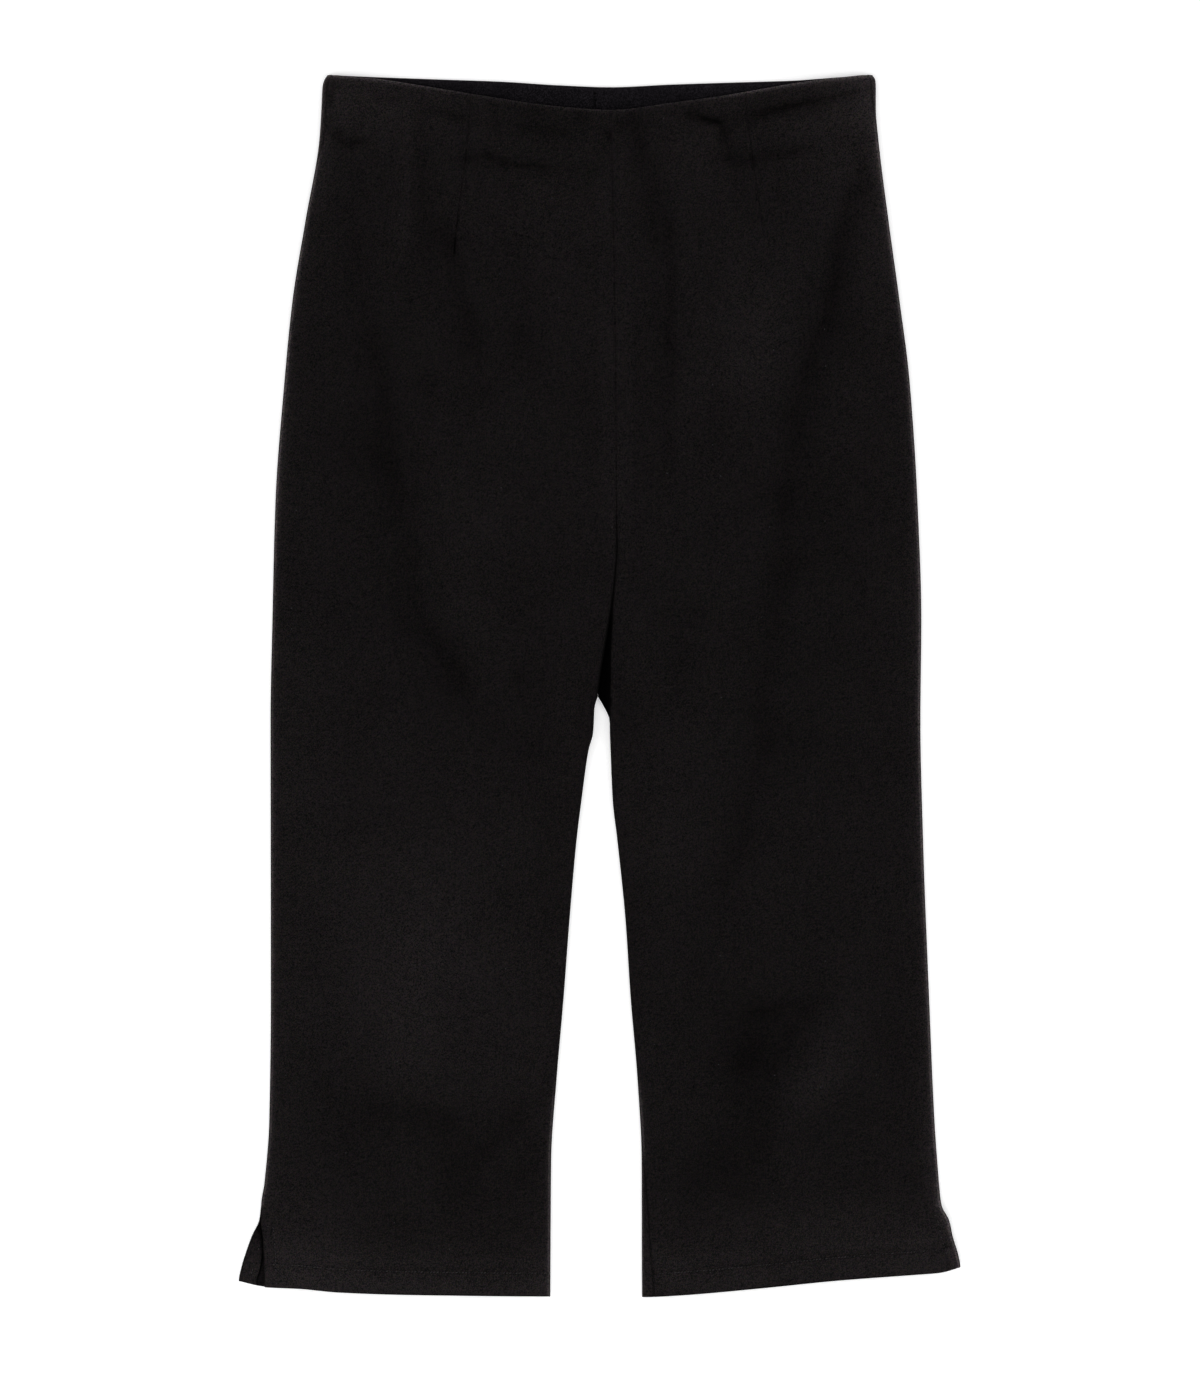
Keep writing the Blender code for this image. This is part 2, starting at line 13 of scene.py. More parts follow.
import bpy
import numpy as np
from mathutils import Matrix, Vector


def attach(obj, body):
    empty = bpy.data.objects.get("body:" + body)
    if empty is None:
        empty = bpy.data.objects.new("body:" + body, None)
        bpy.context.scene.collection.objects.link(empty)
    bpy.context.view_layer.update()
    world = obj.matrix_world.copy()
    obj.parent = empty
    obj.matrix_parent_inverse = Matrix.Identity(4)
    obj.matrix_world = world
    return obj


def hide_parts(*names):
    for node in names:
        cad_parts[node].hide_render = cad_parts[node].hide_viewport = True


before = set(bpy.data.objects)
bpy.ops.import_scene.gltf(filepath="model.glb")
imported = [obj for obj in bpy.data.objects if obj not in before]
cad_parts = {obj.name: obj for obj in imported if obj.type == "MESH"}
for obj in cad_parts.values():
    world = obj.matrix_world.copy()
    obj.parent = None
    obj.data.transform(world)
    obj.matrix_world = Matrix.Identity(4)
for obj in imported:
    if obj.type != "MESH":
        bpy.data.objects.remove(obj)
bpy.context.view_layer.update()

print("panels in the frame:", ", ".join(sorted(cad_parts)))

# %% [markdown]
# ## Camera
#
# A garment that lies flat is pictured from straight above. A long lens far away keeps the
# outline free of perspective, so that sizes can be read off the picture. A sensor height
# and a distance give the lens that frames the wanted height of floor.

# %% A camera straight above
CAMERA_HEIGHT = 3.0
FRAMED_LENGTH = 0.8794
OUTLINE_HEIGHT = 0.002
FRAME_CENTRE = (0.0003, -0.0006)
SENSOR_HEIGHT = 24.0

bpy.ops.object.camera_add(location=(*FRAME_CENTRE, CAMERA_HEIGHT), rotation=(0, 0, 0))
camera = bpy.context.object
camera.name = "camera_above"
camera.data.sensor_fit = "VERTICAL"
camera.data.sensor_height = SENSOR_HEIGHT
camera.data.lens = SENSOR_HEIGHT * (CAMERA_HEIGHT - OUTLINE_HEIGHT) / FRAMED_LENGTH
bpy.context.scene.camera = camera
print(f"lens of {camera.data.lens:.1f} mm at {CAMERA_HEIGHT} m")

# %% [markdown]
# ## Floor and light
#
# Black cloth shows its folds only where light comes from the side. So large soft boxes stand
# low round the garment, each a little nearer to its own side, and a weak white sky fills in.
# The floor is a sheet of white board, just under the cloth. It is so bright that it prints
# as plain white, and it throws light up at the rolled edges.

# %% The floor
FLOOR_SIZE = 6.0
FLOOR_DROP = 0.0002


def deselect():
    bpy.ops.object.select_all(action="DESELECT")


deselect()
bpy.ops.mesh.primitive_plane_add(size=FLOOR_SIZE, location=(0, 0, -FLOOR_DROP))
floor = bpy.context.object
floor.name = "floor"
bpy.ops.object.transform_apply(location=True)
print("floor", [round(x, 2) for x in floor.dimensions])

# %% The lights
SoftBox = namedtuple("SoftBox", "name place width length watts")
SOFT_BOXES = (
    SoftBox("light_beside_right_leg", (-1.25, -0.05, 0.75), 0.7, 1.3, 10.0),
    SoftBox("light_beside_left_leg", (1.25, -0.05, 0.75), 0.7, 1.3, 9.0),
    SoftBox("light_below_hems", (0.0, -1.35, 0.7), 1.2, 0.6, 8.0),
    SoftBox("light_above_waist", (0.0, 1.5, 0.9), 1.2, 0.6, 3.0),
    SoftBox("light_overhead", (0.0, 0.0, 2.6), 1.6, 1.6, 4.0),
)
SKY_STRENGTH = 0.45

for box in SOFT_BOXES:
    aim = Vector(box.place).to_track_quat("Z", "Y").to_euler()
    bpy.ops.object.light_add(type="AREA", location=box.place, rotation=aim)
    light = bpy.context.object
    light.name = box.name
    light.data.shape = "RECTANGLE"
    light.data.size = box.width
    light.data.size_y = box.length
    light.data.energy = box.watts
    light.visible_camera = False
sky = bpy.data.worlds.new("white_sky")
sky.use_nodes = True
sky.node_tree.nodes["Background"].inputs["Color"].default_value = (1, 1, 1, 1)
sky.node_tree.nodes["Background"].inputs["Strength"].default_value = SKY_STRENGTH
bpy.context.scene.world = sky
bpy.context.scene.view_settings.view_transform = "Standard"
print(f"{len(SOFT_BOXES)} soft boxes of {sum(box.watts for box in SOFT_BOXES):.0f} W in all")

# %% [markdown]
# ## Sizes of the garment
#
# The sizes are those of the pattern that the frame is built to, in millimetres. Right and
# left are the wearer's, so the right leg lies at -X. Every panel is a grid of points on
# the cloth's outer face: a row is one section across the leg, and a wall of cloth is added
# at the end. The tables below give the edges of the panels, height by height.

# %% Driving sizes
MM = 0.001
CLOTH = 1.0
HEM_WALL = 1.5
SEAM_GAP = 0.04
ROLL_RADIUS = 2.0
EDGE_TOP = 2 * ROLL_RADIUS
LOFT = 1.9
LOFT_REACH = 26.0
WAIST_TOP = 391.0
HEM_LOW = -391.0
CROTCH = -7.0
HEM_DEPTH = 15.0
FACING_DEPTH = 30.0
END_BEND = 90.0
FAR = 200.0
SLIT_TOP = {"right": -341.5, "left": -330.0}
SLIT_EASE = 14.0
LEGS = ("right", "left")
print(f"{WAIST_TOP - HEM_LOW:.0f} mm from waist to hem, cloth of {CLOTH} mm")

# %% Side edges, centre seams and inner edges
def table(columns, *rows):
    """Rows with named columns. The first column says where a row applies."""
    Row = namedtuple("Row", columns)
    return [Row(*row) for row in rows]


SIDE_EDGES = table(
    "height right_front right_back left_front left_back",
    (391, 174.2, 174.2, 174.6, 174.6),
    (388, 176.1, 176.1, 176.5, 176.5),
    (384, 177.3, 177.3, 176.9, 176.9),
    (370, 178, 178, 176.9, 176.9),
    (350, 179.3, 179.3, 178.5, 178.5),
    (298, 188.2, 188.2, 185, 185),
    (247, 196.5, 196.5, 192, 192),
    (196, 201.6, 201.6, 198.4, 198.4),
    (119, 207.4, 207.4, 203.5, 203.5),
    (42, 209.4, 209.4, 206, 206),
    (-22, 210.6, 210.6, 205.4, 205.4),
    (-98, 210.5, 210.5, 207.1, 207.1),
    (-200, 210.4, 210.4, 211, 211),
    (-278, 211.4, 211.4, 214.4, 214.4),
    (-318, 214.5, 214.5, 217.3, 217.3),
    (-332, 216.6, 216.6, 218.9, 218.4),
    (-342, 216.7, 218, 223.8, 221.2),
    (-352, 215.5, 222.6, 226, 223.4),
    (-364, 214.8, 226.9, 229.6, 227.2),
    (-372, 214.5, 229.3, 231, 228.8),
    (-381, 214.4, 231, 231, 228.8),
    (-391, 214.4, 231, 231, 228.8),
)
CENTRE_SEAMS = table(
    "height front back shelf",
    (391, 6.8, -2.9, 0),
    (209, 10.2, -2.3, 0),
    (106, 10.9, -1.7, 0),
    (90, 11.2, -1.6, 0),
    (74, 10.2, -1.5, 0),
    (55, 8.3, -1.4, 0),
    (42, 6.4, -1.3, 1.3),
    (23, 3.2, -1.2, 3.4),
    (4, 0.1, -1.1, 6.3),
    (CROTCH, -1.1, -1.1, 7.3),
    (-14, -1.1, -1.1, 3.2),
    (-22, -1.1, -1.1, 0),
)
INSEAMS = table(
    "height right left",
    (CROTCH, -1.3, -0.9),
    (-14, -3.2, 3.2),
    (-22, -3.6, 6.4),
    (-30, -4.1, 6.6),
    (-41, -7, 7),
    (-73, -11.5, 8.4),
    (-99, -14.7, 11.4),
    (-150, -19.2, 16.6),
    (-200, -23, 19.9),
    (-252, -27.5, 24.3),
    (-303, -30.9, 26.9),
    (-391, -31.5, 27.1),
)
print("half hip width:", max(row.right_front for row in SIDE_EDGES if row.height > CROTCH), "mm")

# %% Heights in the fold between the legs, and where each seam lies in from its edge
INNER_FOLD = table(
    "height fold_top right_front right_back left_front left_back",
    (391, 4.9, 4.6, 0, 4.6, 0),
    (330, 5.7, 5.3, 0, 5.3, 0),
    (130, 6, 5.5, 0, 5.5, 0),
    (108, 6.3, 5.1, 0, 5.1, 0),
    (90, 6.9, 3.8, 0, 3.8, 0),
    (72, 7.2, 3.6, 0, 3.6, 0),
    (55, 7.5, 3, 0, 3, 0),
    (20, 7.9, 2.7, 0, 2.4, 0),
    (5, 7.8, 2.7, 0.5, 2.3, 0),
    (-2, 7.5, 2.7, 1.2, 2.3, 0),
    (CROTCH, 7.2, 2.15, 1.85, 2.3, 0),
    (-14, 6.9, 2, 2, 2.3, 0),
    (-22, 6.5, 2, 2, 2.3, 0),
    (-30, 6, 2, 2, 2.6, 1),
    (-40, 5.5, 2, 2, 2, 2),
    (-60, 4.8, 2, 2, 2, 2),
    (-100, 4, 2, 2, 2, 2),
    (-391, 4, 2, 2, 2, 2),
)
SEAM_SHIFTS = table(
    "height right_side left_side left_inseam",
    (391, 4.4, 4.6, 0),
    (375, 4.4, 3.6, 0),
    (350, 4, 1, 0),
    (334, 1.6, 0, 0),
    (316, 0, 0, 0),
    (-262, 0, 0, 0),
    (-320, 0, 0, 4),
    (-391, 0, 0, 9),
)
deepest = max(row.fold_top - row.left_front for row in INNER_FOLD)
print(f"deepest fold between the legs: {deepest:.1f} mm")

# %% Waist, hems and darts
WAIST_EDGES = table(
    "across front back",
    (-168, 390.7, 391),
    (-140, 388.1, 389.8),
    (-102, 382.3, 388.4),
    (-63, 375.8, 387),
    (-25, 370.5, 384.6),
    (7, 368.4, 383.4),
    (45, 372.9, 385.1),
    (84, 378.5, 386.4),
    (104, 382.1, 387),
    (122, 385.3, 387.6),
    (140, 387.8, 388.9),
    (168, 390.8, 391),
)
HEM_EDGES = table(
    "across front back",
    (-231, -381, -381),
    (-214.4, -384.8, -384.4),
    (-192, -385.6, -385.9),
    (-167, -387.9, -388.3),
    (-120, -389.5, -389.9),
    (-31, -390.6, -390.8),
    (27, -391, -391),
    (52, -389.8, -389.6),
    (103, -385.3, -385),
    (154, -380.2, -379.8),
    (205, -376.4, -376),
    (218, -375.4, -374.8),
    (231, -372, -371.6),
)
DartRow = namedtuple("DartRow", "share_at_waist share_at_point point_height")
DARTS = {
    "right": DartRow(0.515, 0.492, 274.0),
    "left": DartRow(0.492, 0.462, 283.0),
}
print("dart lengths:", [round(WAIST_TOP - dart.point_height) for dart in DARTS.values()], "mm")

# %% [markdown]
# ## Curves through the tables
#
# An edge runs smoothly through the rows of its table. A plain spline would swing past rows
# that lie close together and make a bulge. A cubic whose slope is the harmonic mean of its
# two neighbours never does, so this is the curve for every edge.

# %% Reading a table as a curve
def curve(table, name, at):
    """A smooth curve through one named column of a table, read at the given places."""
    x = np.array([row[0] for row in table])
    y = np.array([getattr(row, name) for row in table])
    if x[0] > x[-1]:
        x = x[::-1]
        y = y[::-1]
    step = np.diff(x)
    slope = np.diff(y) / step
    same_way = slope[1:] * slope[:-1] > 0
    mean = 2 * slope[1:] * slope[:-1] / np.where(same_way, slope[1:] + slope[:-1], 1.0)
    tangent = np.concatenate([slope[:1], np.where(same_way, mean, 0.0), slope[-1:]])
    at = np.clip(at, x[0], x[-1])
    i = np.clip(np.searchsorted(x, at) - 1, 0, len(step) - 1)
    t = (at - x[i]) / step[i]
    start = (1 + 2 * t) * (1 - t) ** 2 * y[i] + t * (1 - t) ** 2 * step[i] * tangent[i]
    end = t ** 2 * (3 - 2 * t) * y[i + 1] + t ** 2 * (t - 1) * step[i] * tangent[i + 1]
    return start + end


def smooth(t):
    t = np.clip(t, 0.0, 1.0)
    return t * t * (3 - 2 * t)


def bell(distance, width):
    """1 where the distance is nothing, and almost 0 at twice the width."""
    return np.exp(-(distance / width) ** 2)


def outward(leg):
    return -1.0 if leg == "right" else 1.0


def side_edge(leg, panel, height):
    return outward(leg) * curve(SIDE_EDGES, f"{leg}_{panel}", height)


def inner_edge(leg, panel, height):
    """Centre seam above the crotch, less half the seam's gap, and inner edge below it."""
    centre = curve(CENTRE_SEAMS, panel, height) + outward(leg) * SEAM_GAP / 2
    return np.where(height > CROTCH, centre, curve(INSEAMS, leg, height))


def from_edges(leg, panel, x, y):
    """Distances in from the side edge and from the inner edge."""
    return np.abs(x - side_edge(leg, panel, y)), np.abs(x - inner_edge(leg, panel, y))


def above_hem(panel, x, y):
    return y - curve(HEM_EDGES, panel, x)


def below_waist(panel, x, y):
    return curve(WAIST_EDGES, panel, x) - y


for where, height in {"waist": 380.0, "hip": 42.0, "knee": -252.0}.items():
    across = side_edge("left", "front", height) - side_edge("right", "front", height)
    print(f"{where}: {across:.0f} mm across the outline")

# %% [markdown]
# ## Rolled edges
#
# At the side of a leg the cloth rolls over from the front to the back, round a radius of
# about 2 mm. The roll is an arc of cloth of a fixed length: where the slit opens, it turns
# less and less until the edge lies flat, and between the legs it drops deeper and stretches
# to a quarter ellipse. This way one formula serves the whole length of every edge.

# %% One formula for all rolled edges
ROLL_LENGTH = ROLL_RADIUS * np.pi / 2
TURNS = np.linspace(0.001, np.pi / 2, 60)
FALLS = ROLL_LENGTH / TURNS * (1 - np.cos(TURNS))


def rolled(drop, along):
    """Distance across and down to a point `along` the cloth from an edge that turns down
    by `drop`."""
    turn = np.interp(drop, FALLS, TURNS)
    left = turn * np.clip(1 - along / ROLL_LENGTH, 0.0, 1.0)
    deep = np.maximum(drop / ROLL_RADIUS, 1.0)
    across = ROLL_LENGTH / turn * (np.sin(turn) - np.sin(left)) * np.sqrt(deep)
    across = across + np.maximum(along - ROLL_LENGTH, 0.0)
    down = ROLL_LENGTH / turn * (1 - np.cos(left)) * deep
    return across, down


def side_drop(leg, height):
    """How far the cloth turns at the side: half the pants' thickness, or nothing where the
    slit lets the two edges lie flat."""
    return ROLL_RADIUS * (1 - smooth((SLIT_TOP[leg] - height) / SLIT_EASE + 0.5))


def fold_drop(leg, height):
    """How far the front's cloth falls at the inner edge, from the fold's top."""
    return curve(INNER_FOLD, "fold_top", height) - curve(INNER_FOLD, f"{leg}_front", height)


def side_shift(leg, height):
    return curve(SEAM_SHIFTS, f"{leg}_side", height)


def inseam_shift(leg, height):
    return curve(SEAM_SHIFTS, "left_inseam", height) * (leg == "left")


def seam_gap_along(height):
    """Half the seam's gap, where the seam runs round a rolled edge."""
    return np.where(height > CROTCH, 0.0, SEAM_GAP / 2)


print(f"a full roll takes {ROLL_LENGTH:.2f} mm of cloth")

# %% [markdown]
# ## Creases
#
# Trousers keep soft creases where they bend: one long fold runs down each thigh, a few lie
# behind the knee, and small puckers sit along the waist, where the facing pulls. Cloth
# simulation gives even waves, so each crease is laid one by one instead. It is a path with a
# depth and a half width, as a finger would press it: a trough, or a ridge where the depth
# is negative. Each crease also has a tone: painted shade down in a trough and a painted
# highlight on a ridge.

# %% Creases of the right front
# A crease's tone is painted shade in a trough and a painted highlight on a ridge.
Crease = namedtuple("Crease", "depth half_width tone path soft_side")


def laid(*rows, soft_side=1):
    """Creases from rows of depth, half width, tone and the points of a path."""
    return [Crease(*row[:3], row[3:], soft_side) for row in rows]


RIGHT_CREASES = laid(
    # side of the waist
    (1.0, 2.6, -0.5, (-168, 357), (-166, 351), (-161, 347), (-150, 350)),
    (0.3, 1.9, -0.3, (-147, 374), (-138, 376), (-127, 375)),
    (-0.2, 4.2, 0.22, (-144, 370), (-130, 369)),
    (-0.2, 3.2, 0.18, (-108, 363), (-102, 361)),
    (-0.2, 6.0, 0.25, (-176, 385), (-140, 382), (-86, 373)),
    # outer hip
    (1.3, 5.8, -0.16, (-158, 343), (-156, 298), (-154, 253), (-145, 228)),
    # long fold down the thigh
    (1.8, 6.4, -0.22, (-145, 228), (-140, 202), (-136, 177), (-133, 157)),
    (1.0, 5.8, -0.14, (-145, 163), (-143, 148), (-138, 141)),
    (2.4, 8.3, -0.27, (-133, 157), (-131, 132), (-125, 111), (-122, 90), (-120, 71)),
    (2.3, 8.3, -0.24, (-120, 71), (-116, 52), (-108, 37), (-98, 20), (-92, 4)),
    (0.8, 5.1, -0.16, (-94, 20), (-89, 9), (-86, -1)),
    (1.6, 9.0, -0.12, (-92, 4), (-77, -14), (-63, -27), (-45, -36), (-24, -42)),
    (0.8, 8.3, -0.13, (-125, 55), (-121, 39), (-107, 29)),
    # beside the dart and at its end
    (-0.8, 4.2, 0.3, (-122, 374), (-122, 345), (-123, 312), (-124, 278)),
    (1.0, 4.5, -0.15, (-110, 346), (-112, 327), (-113, 308), (-108, 295)),
    (0.6, 1.6, -0.16, (-98, 300), (-95, 290), (-92, 276)),
    # side seam's corner
    (0.4, 1.4, -0.8, (-170, 387), (-171, 380), (-172, 371)),
    (0.3, 1.3, -0.5, (-172, 366), (-173, 361), (-174, 352)),
    # below the dart
    (0.7, 5.8, -0.16, (-109, 297), (-102, 288), (-95, 278)),
    (0.8, 4.5, -0.2, (-97, 292), (-90, 266), (-85, 240), (-79, 208)),
    (0.3, 4.0, -0.08, (-52, 292), (-50, 262), (-47, 222)),
    # puckers of the waist and the facing
    (0.5, 2.2, -0.36, (-104, 369), (-99, 367), (-86, 362)),
    (0.3, 2.6, -0.14, (-80, 360), (-60, 359)),
    (0.7, 2.4, -0.28, (-53, 358), (-42, 356), (-31, 355), (-17, 355)),
    (0.5, 3.0, -0.42, (-86, 336), (-79, 339), (-72, 341), (-66, 337)),
    (0.8, 2.3, -0.5, (-64, 336), (-56, 334), (-44, 333), (-32, 331)),
    (0.4, 2.6, -0.2, (-33, 330), (-13, 329), (1, 332)),
    # between the waist and the facing
    (0.2, 9.0, -0.12, (-51, 370), (-33, 364), (-21, 352)),
    (0.2, 2.6, -0.12, (-66, 375), (-65, 349)),
    (-0.3, 3.8, 0.12, (-75, 376), (-76, 346)),
    (0.4, 1.9, -0.4, (-14, 368), (-8, 362)),
    (0.5, 2.9, -0.5, (3, 353), (8, 352)),
    # swells beside the side seam
    (-0.5, 10.2, 0.2, (-148, 367), (-129, 358)),
    (-0.3, 9.0, 0.12, (-167, 376), (-163, 367)),
    # belly
    (0.4, 5.8, -0.12, (-83, 246), (-79, 228)),
    (0.4, 5.1, -0.12, (-89, 218), (-75, 214)),
    (0.5, 7.0, -0.18, (-118, 196), (-106, 190)),
    (0.4, 5.1, -0.14, (-74, 193), (-72, 182)),
    (0.5, 5.1, -0.17, (-53, 233), (-49, 214)),
    (0.3, 5.8, -0.08, (-47, 215), (-44, 191)),
    # hip and seat
    (-0.5, 11.5, 0.1, (-112, 168), (-99, 161)),
    (-0.8, 19.2, 0.13, (-83, 125), (-76, 81), (-84, 29)),
    (0.6, 9.6, -0.1, (-44, 20), (-41, -8)),
    (0.6, 5.4, -0.22, (-56, 9), (-47, 5)),
    (0.3, 14.1, -0.06, (-48, 81), (-45, 29)),
    (0.4, 6.4, -0.1, (-135, -3), (-148, -6)),
    # calf
    (-0.8, 25.6, 0.13, (-126, -124), (-115, -163), (-118, -195), (-125, -229)),
    (-0.4, 15.4, 0.06, (-80, -124), (-88, -175)),
    # behind the knee
    (1.2, 8.0, -0.27, (-150, -262), (-128, -270), (-104, -276), (-88, -290)),
    (0.8, 10.2, -0.13, (-177, -241), (-167, -265), (-162, -288), (-159, -316)),
    (0.6, 7.7, -0.09, (-140, -278), (-136, -316), (-126, -337)),
    (0.9, 10.2, -0.17, (-94, -296), (-92, -310), (-100, -328)),
    (1.1, 6.4, -0.28, (-47, -269), (-60, -280), (-70, -292), (-80, -305)),
    (0.7, 5.8, -0.14, (-37, -289), (-47, -306), (-56, -323)),
    (0.4, 7.7, -0.08, (-88, -323), (-56, -326)),
    # calf and inner edge
    (0.4, 11.5, -0.08, (-176, -170), (-171, -188)),
    (0.5, 11.5, -0.1, (-52, -125), (-61, -142)),
    (0.3, 8.3, -0.09, (-25, -60), (-30, -105), (-30, -156)),
)
print(len(RIGHT_CREASES), "creases on the right front")

# %% Creases of the left front
LEFT_CREASES = laid(
    # beside the centre seam
    (1.0, 3.2, -0.32, (21, 369), (24, 353), (28, 338)),
    (1.3, 5.8, -0.24, (28, 338), (33, 317), (34, 301), (33, 282)),
) + laid(
    # the same fold, soft towards the seam
    (1.2, 3.8, -0.3, (40, 306), (46, 292), (46, 253), (44, 228), (46, 205)),
    (0.8, 4.5, -0.22, (46, 205), (44, 191), (45, 170), (44, 138)),
    soft_side=-1,
) + laid(
    (0.4, 4.5, -0.34, (11, 361), (15, 356)),
    # hook below the waist
    (1.5, 2.8, -0.62, (55, 366), (62, 364), (70, 363), (77, 360)),
    (0.5, 1.1, -0.42, (63, 364), (69, 363), (75, 361)),
    (1.4, 2.2, -0.6, (76, 361), (79, 356), (81, 349)),
    (0.8, 4.2, -0.2, (79, 352), (81, 344), (86, 337)),
    (0.6, 3.8, -0.16, (84, 335), (90, 323), (95, 310), (98, 294)),
    # waist and facing
    (0.8, 3.5, -0.34, (79, 338), (93, 337), (104, 339), (120, 342), (139, 346)),
    (-0.2, 4.6, 0.12, (66, 369), (106, 376), (146, 384), (168, 387)),
    (1.1, 1.8, -0.56, (98, 365), (117, 370), (135, 374), (153, 378), (168, 382)),
    (0.5, 4.2, -0.26, (85, 362), (106, 366), (128, 371), (146, 375)),
    # side seam's corner
    (-0.9, 10.2, 0.5, (170, 379), (168, 356)),
    (0.5, 2.2, -0.24, (152, 347), (172, 351)),
    # swells over the facing
    (-0.3, 4.5, 0.14, (108, 361), (127, 362)),
    (-0.3, 11.5, 0.12, (127, 355), (149, 356)),
    # at the dart
    (0.4, 4.5, -0.18, (105, 275), (98, 266)),
    (0.4, 7.0, -0.12, (106, 303), (111, 284)),
    (0.3, 3.2, -0.14, (112, 318), (120, 310)),
    # belly and hip
    (0.3, 5.8, -0.08, (65, 296), (68, 268), (67, 246)),
    (-0.5, 10.2, 0.13, (58, 360), (58, 332), (63, 308)),
    (-1.0, 25.6, 0.14, (107, 288), (101, 247), (95, 207), (92, 184)),
    (-0.4, 9.0, 0.1, (149, 320), (144, 297)),
    (-0.3, 10.2, 0.08, (182, 303), (185, 268)),
    # long fold down the thigh
    (2.0, 4.8, -0.36, (170, 341), (165, 322), (159, 301), (153, 282), (149, 257)),
    (2.4, 6.4, -0.36, (149, 257), (144, 237), (137, 218), (131, 201), (126, 182)),
    (0.6, 5.1, -0.12, (128, 199), (142, 202)),
    (2.3, 7.7, -0.32, (127, 182), (124, 163), (122, 143), (120, 122), (117, 99)),
    (2.1, 9.6, -0.24, (117, 99), (115, 77), (111, 54), (108, 28), (104, -3)),
    (0.6, 7.0, -0.12, (130, 86), (121, 73), (111, 60)),
    (2.0, 9.6, -0.25, (104, -3), (101, -27), (94, -59), (86, -91), (81, -120)),
    (0.8, 8.3, -0.12, (81, -120), (72, -132), (63, -141)),
    (0.3, 16.6, -0.1, (158, 246), (162, 214)),
    # crotch and seat
    (0.4, 4.5, -0.1, (34, 48), (58, 46), (92, 44)),
    (0.6, 9.6, -0.14, (52, 32), (49, 10)),
    (0.3, 4.5, -0.08, (147, 83), (168, 83)),
    (0.3, 5.8, -0.07, (166, 69), (166, 29)),
    (0.3, 2.9, -0.12, (172, 19), (169, 5), (175, -7)),
    # knee and inner thigh
    (0.5, 9.0, -0.1, (97, -37), (129, -36), (150, -40)),
    (-0.6, 20.5, 0.12, (60, -27), (53, -73), (43, -119)),
    (0.3, 7.0, -0.09, (19, -3), (21, -17), (16, -41)),
    # calf
    (0.9, 5.4, -0.2, (138, -201), (120, -205), (94, -208)),
    (0.8, 4.5, -0.18, (137, -204), (123, -219), (112, -238), (106, -256)),
    (2.2, 13.0, -0.36, (114, -207), (103, -220), (95, -236), (95, -250)),
    (1.6, 8.3, -0.24, (106, -261), (103, -279), (101, -301)),
    (1.0, 16.6, -0.18, (94, -220), (86, -259), (75, -284), (66, -310), (61, -333)),
    (0.9, 12.8, -0.15, (79, -297), (93, -314), (89, -330)),
    (-1.2, 11.5, 0.2, (162, -206), (153, -227), (139, -247), (129, -262), (118, -273)),
    (0.7, 9.6, -0.12, (162, -255), (150, -275), (131, -285)),
    (0.5, 9.0, -0.12, (159, -308), (150, -321)),
    (0.5, 7.0, -0.14, (195, -305), (200, -317)),
    (0.4, 10.2, -0.09, (57, -183), (66, -174)),
    (0.3, 6.4, -0.09, (15, -105), (19, -150), (22, -201)),
    # flap, slit and corner of the hem
    (-0.5, 5.8, 0.28, (200, -358), (212, -356)),
    (0.5, 1.2, -0.6, (220, -358), (224, -359)),
    (-0.3, 1.1, 0.9, (222, -361), (224, -361)),
    (0.4, 1.6, -0.4, (221, -348), (223, -355)),
    (-0.4, 3.5, 0.3, (219, -338), (223, -348), (226, -360), (229, -370)),
    (-0.2, 1.7, 2.4, (217, -329), (220, -337), (223, -343), (225, -349)),
    (-0.4, 5.1, 0.24, (42, -370), (47, -380)),
)
print(len(LEFT_CREASES), "creases on the left front")

# %% Creases of the two backs
# Under the seat, down the thigh, two behind the knee, calf, hip.
BACK_CREASES = {
    "right": laid(
        (0.5, 8.0, -0.12, (-24, 26), (-58, 12), (-96, 22), (-130, 34)),
        (0.4, 10.0, -0.1, (-118, 30), (-124, -40), (-120, -96)),
        (0.5, 7.0, -0.14, (-58, -206), (-96, -214), (-138, -205)),
        (0.4, 6.0, -0.1, (-88, -238), (-128, -244), (-168, -236)),
        (0.4, 9.0, -0.08, (-150, -262), (-142, -300), (-146, -334)),
        (0.4, 9.0, -0.1, (-150, 236), (-136, 180), (-128, 132)),
    ),
    "left": laid(
        (0.5, 8.0, -0.12, (26, 22), (62, 8), (104, 18), (128, 26)),
        (0.4, 10.0, -0.1, (112, 24), (104, -30), (96, -88), (84, -126)),
        (0.5, 7.0, -0.14, (64, -198), (104, -210), (140, -198)),
        (0.4, 6.0, -0.1, (76, -232), (112, -240), (162, -226)),
        (0.4, 9.0, -0.08, (120, -258), (108, -300), (112, -330)),
        (0.4, 9.0, -0.1, (152, 240), (138, 190), (126, 140)),
    ),
}
print(sum(len(creases) for creases in BACK_CREASES.values()), "creases on the backs")

# %% Pressing creases into a sheet
CREASE_REACH = 5.5
END_SHARE = 0.5
END_LENGTH = 0.3
WANDER = 0.35
WANDER_SIZE = 2.6
UNEVEN_STRENGTH = 0.25
UNEVEN_SIZE = 1.7
HALO_SHIFT = 0.9
HALO_WIDTH = 2.4
HALO_SHARE = 0.4


def along_path(path, x, y):
    """Distance from a path and share of the way along it, for every point."""
    nearest = np.full(x.shape, np.inf)
    share = np.zeros(x.shape)
    lengths = np.linalg.norm(np.diff(path, axis=0), axis=1)
    before = 0.0
    for start, end, length in zip(path[:-1], path[1:], lengths):
        step = (end - start) / length
        t = np.clip((x - start[0]) * step[0] + (y - start[1]) * step[1], 0.0, length)
        distance = np.hypot(x - start[0] - t * step[0], y - start[1] - t * step[1])
        share = np.where(distance < nearest, (before + t) / lengths.sum(), share)
        nearest = np.minimum(nearest, distance)
        before += length
    return nearest, share


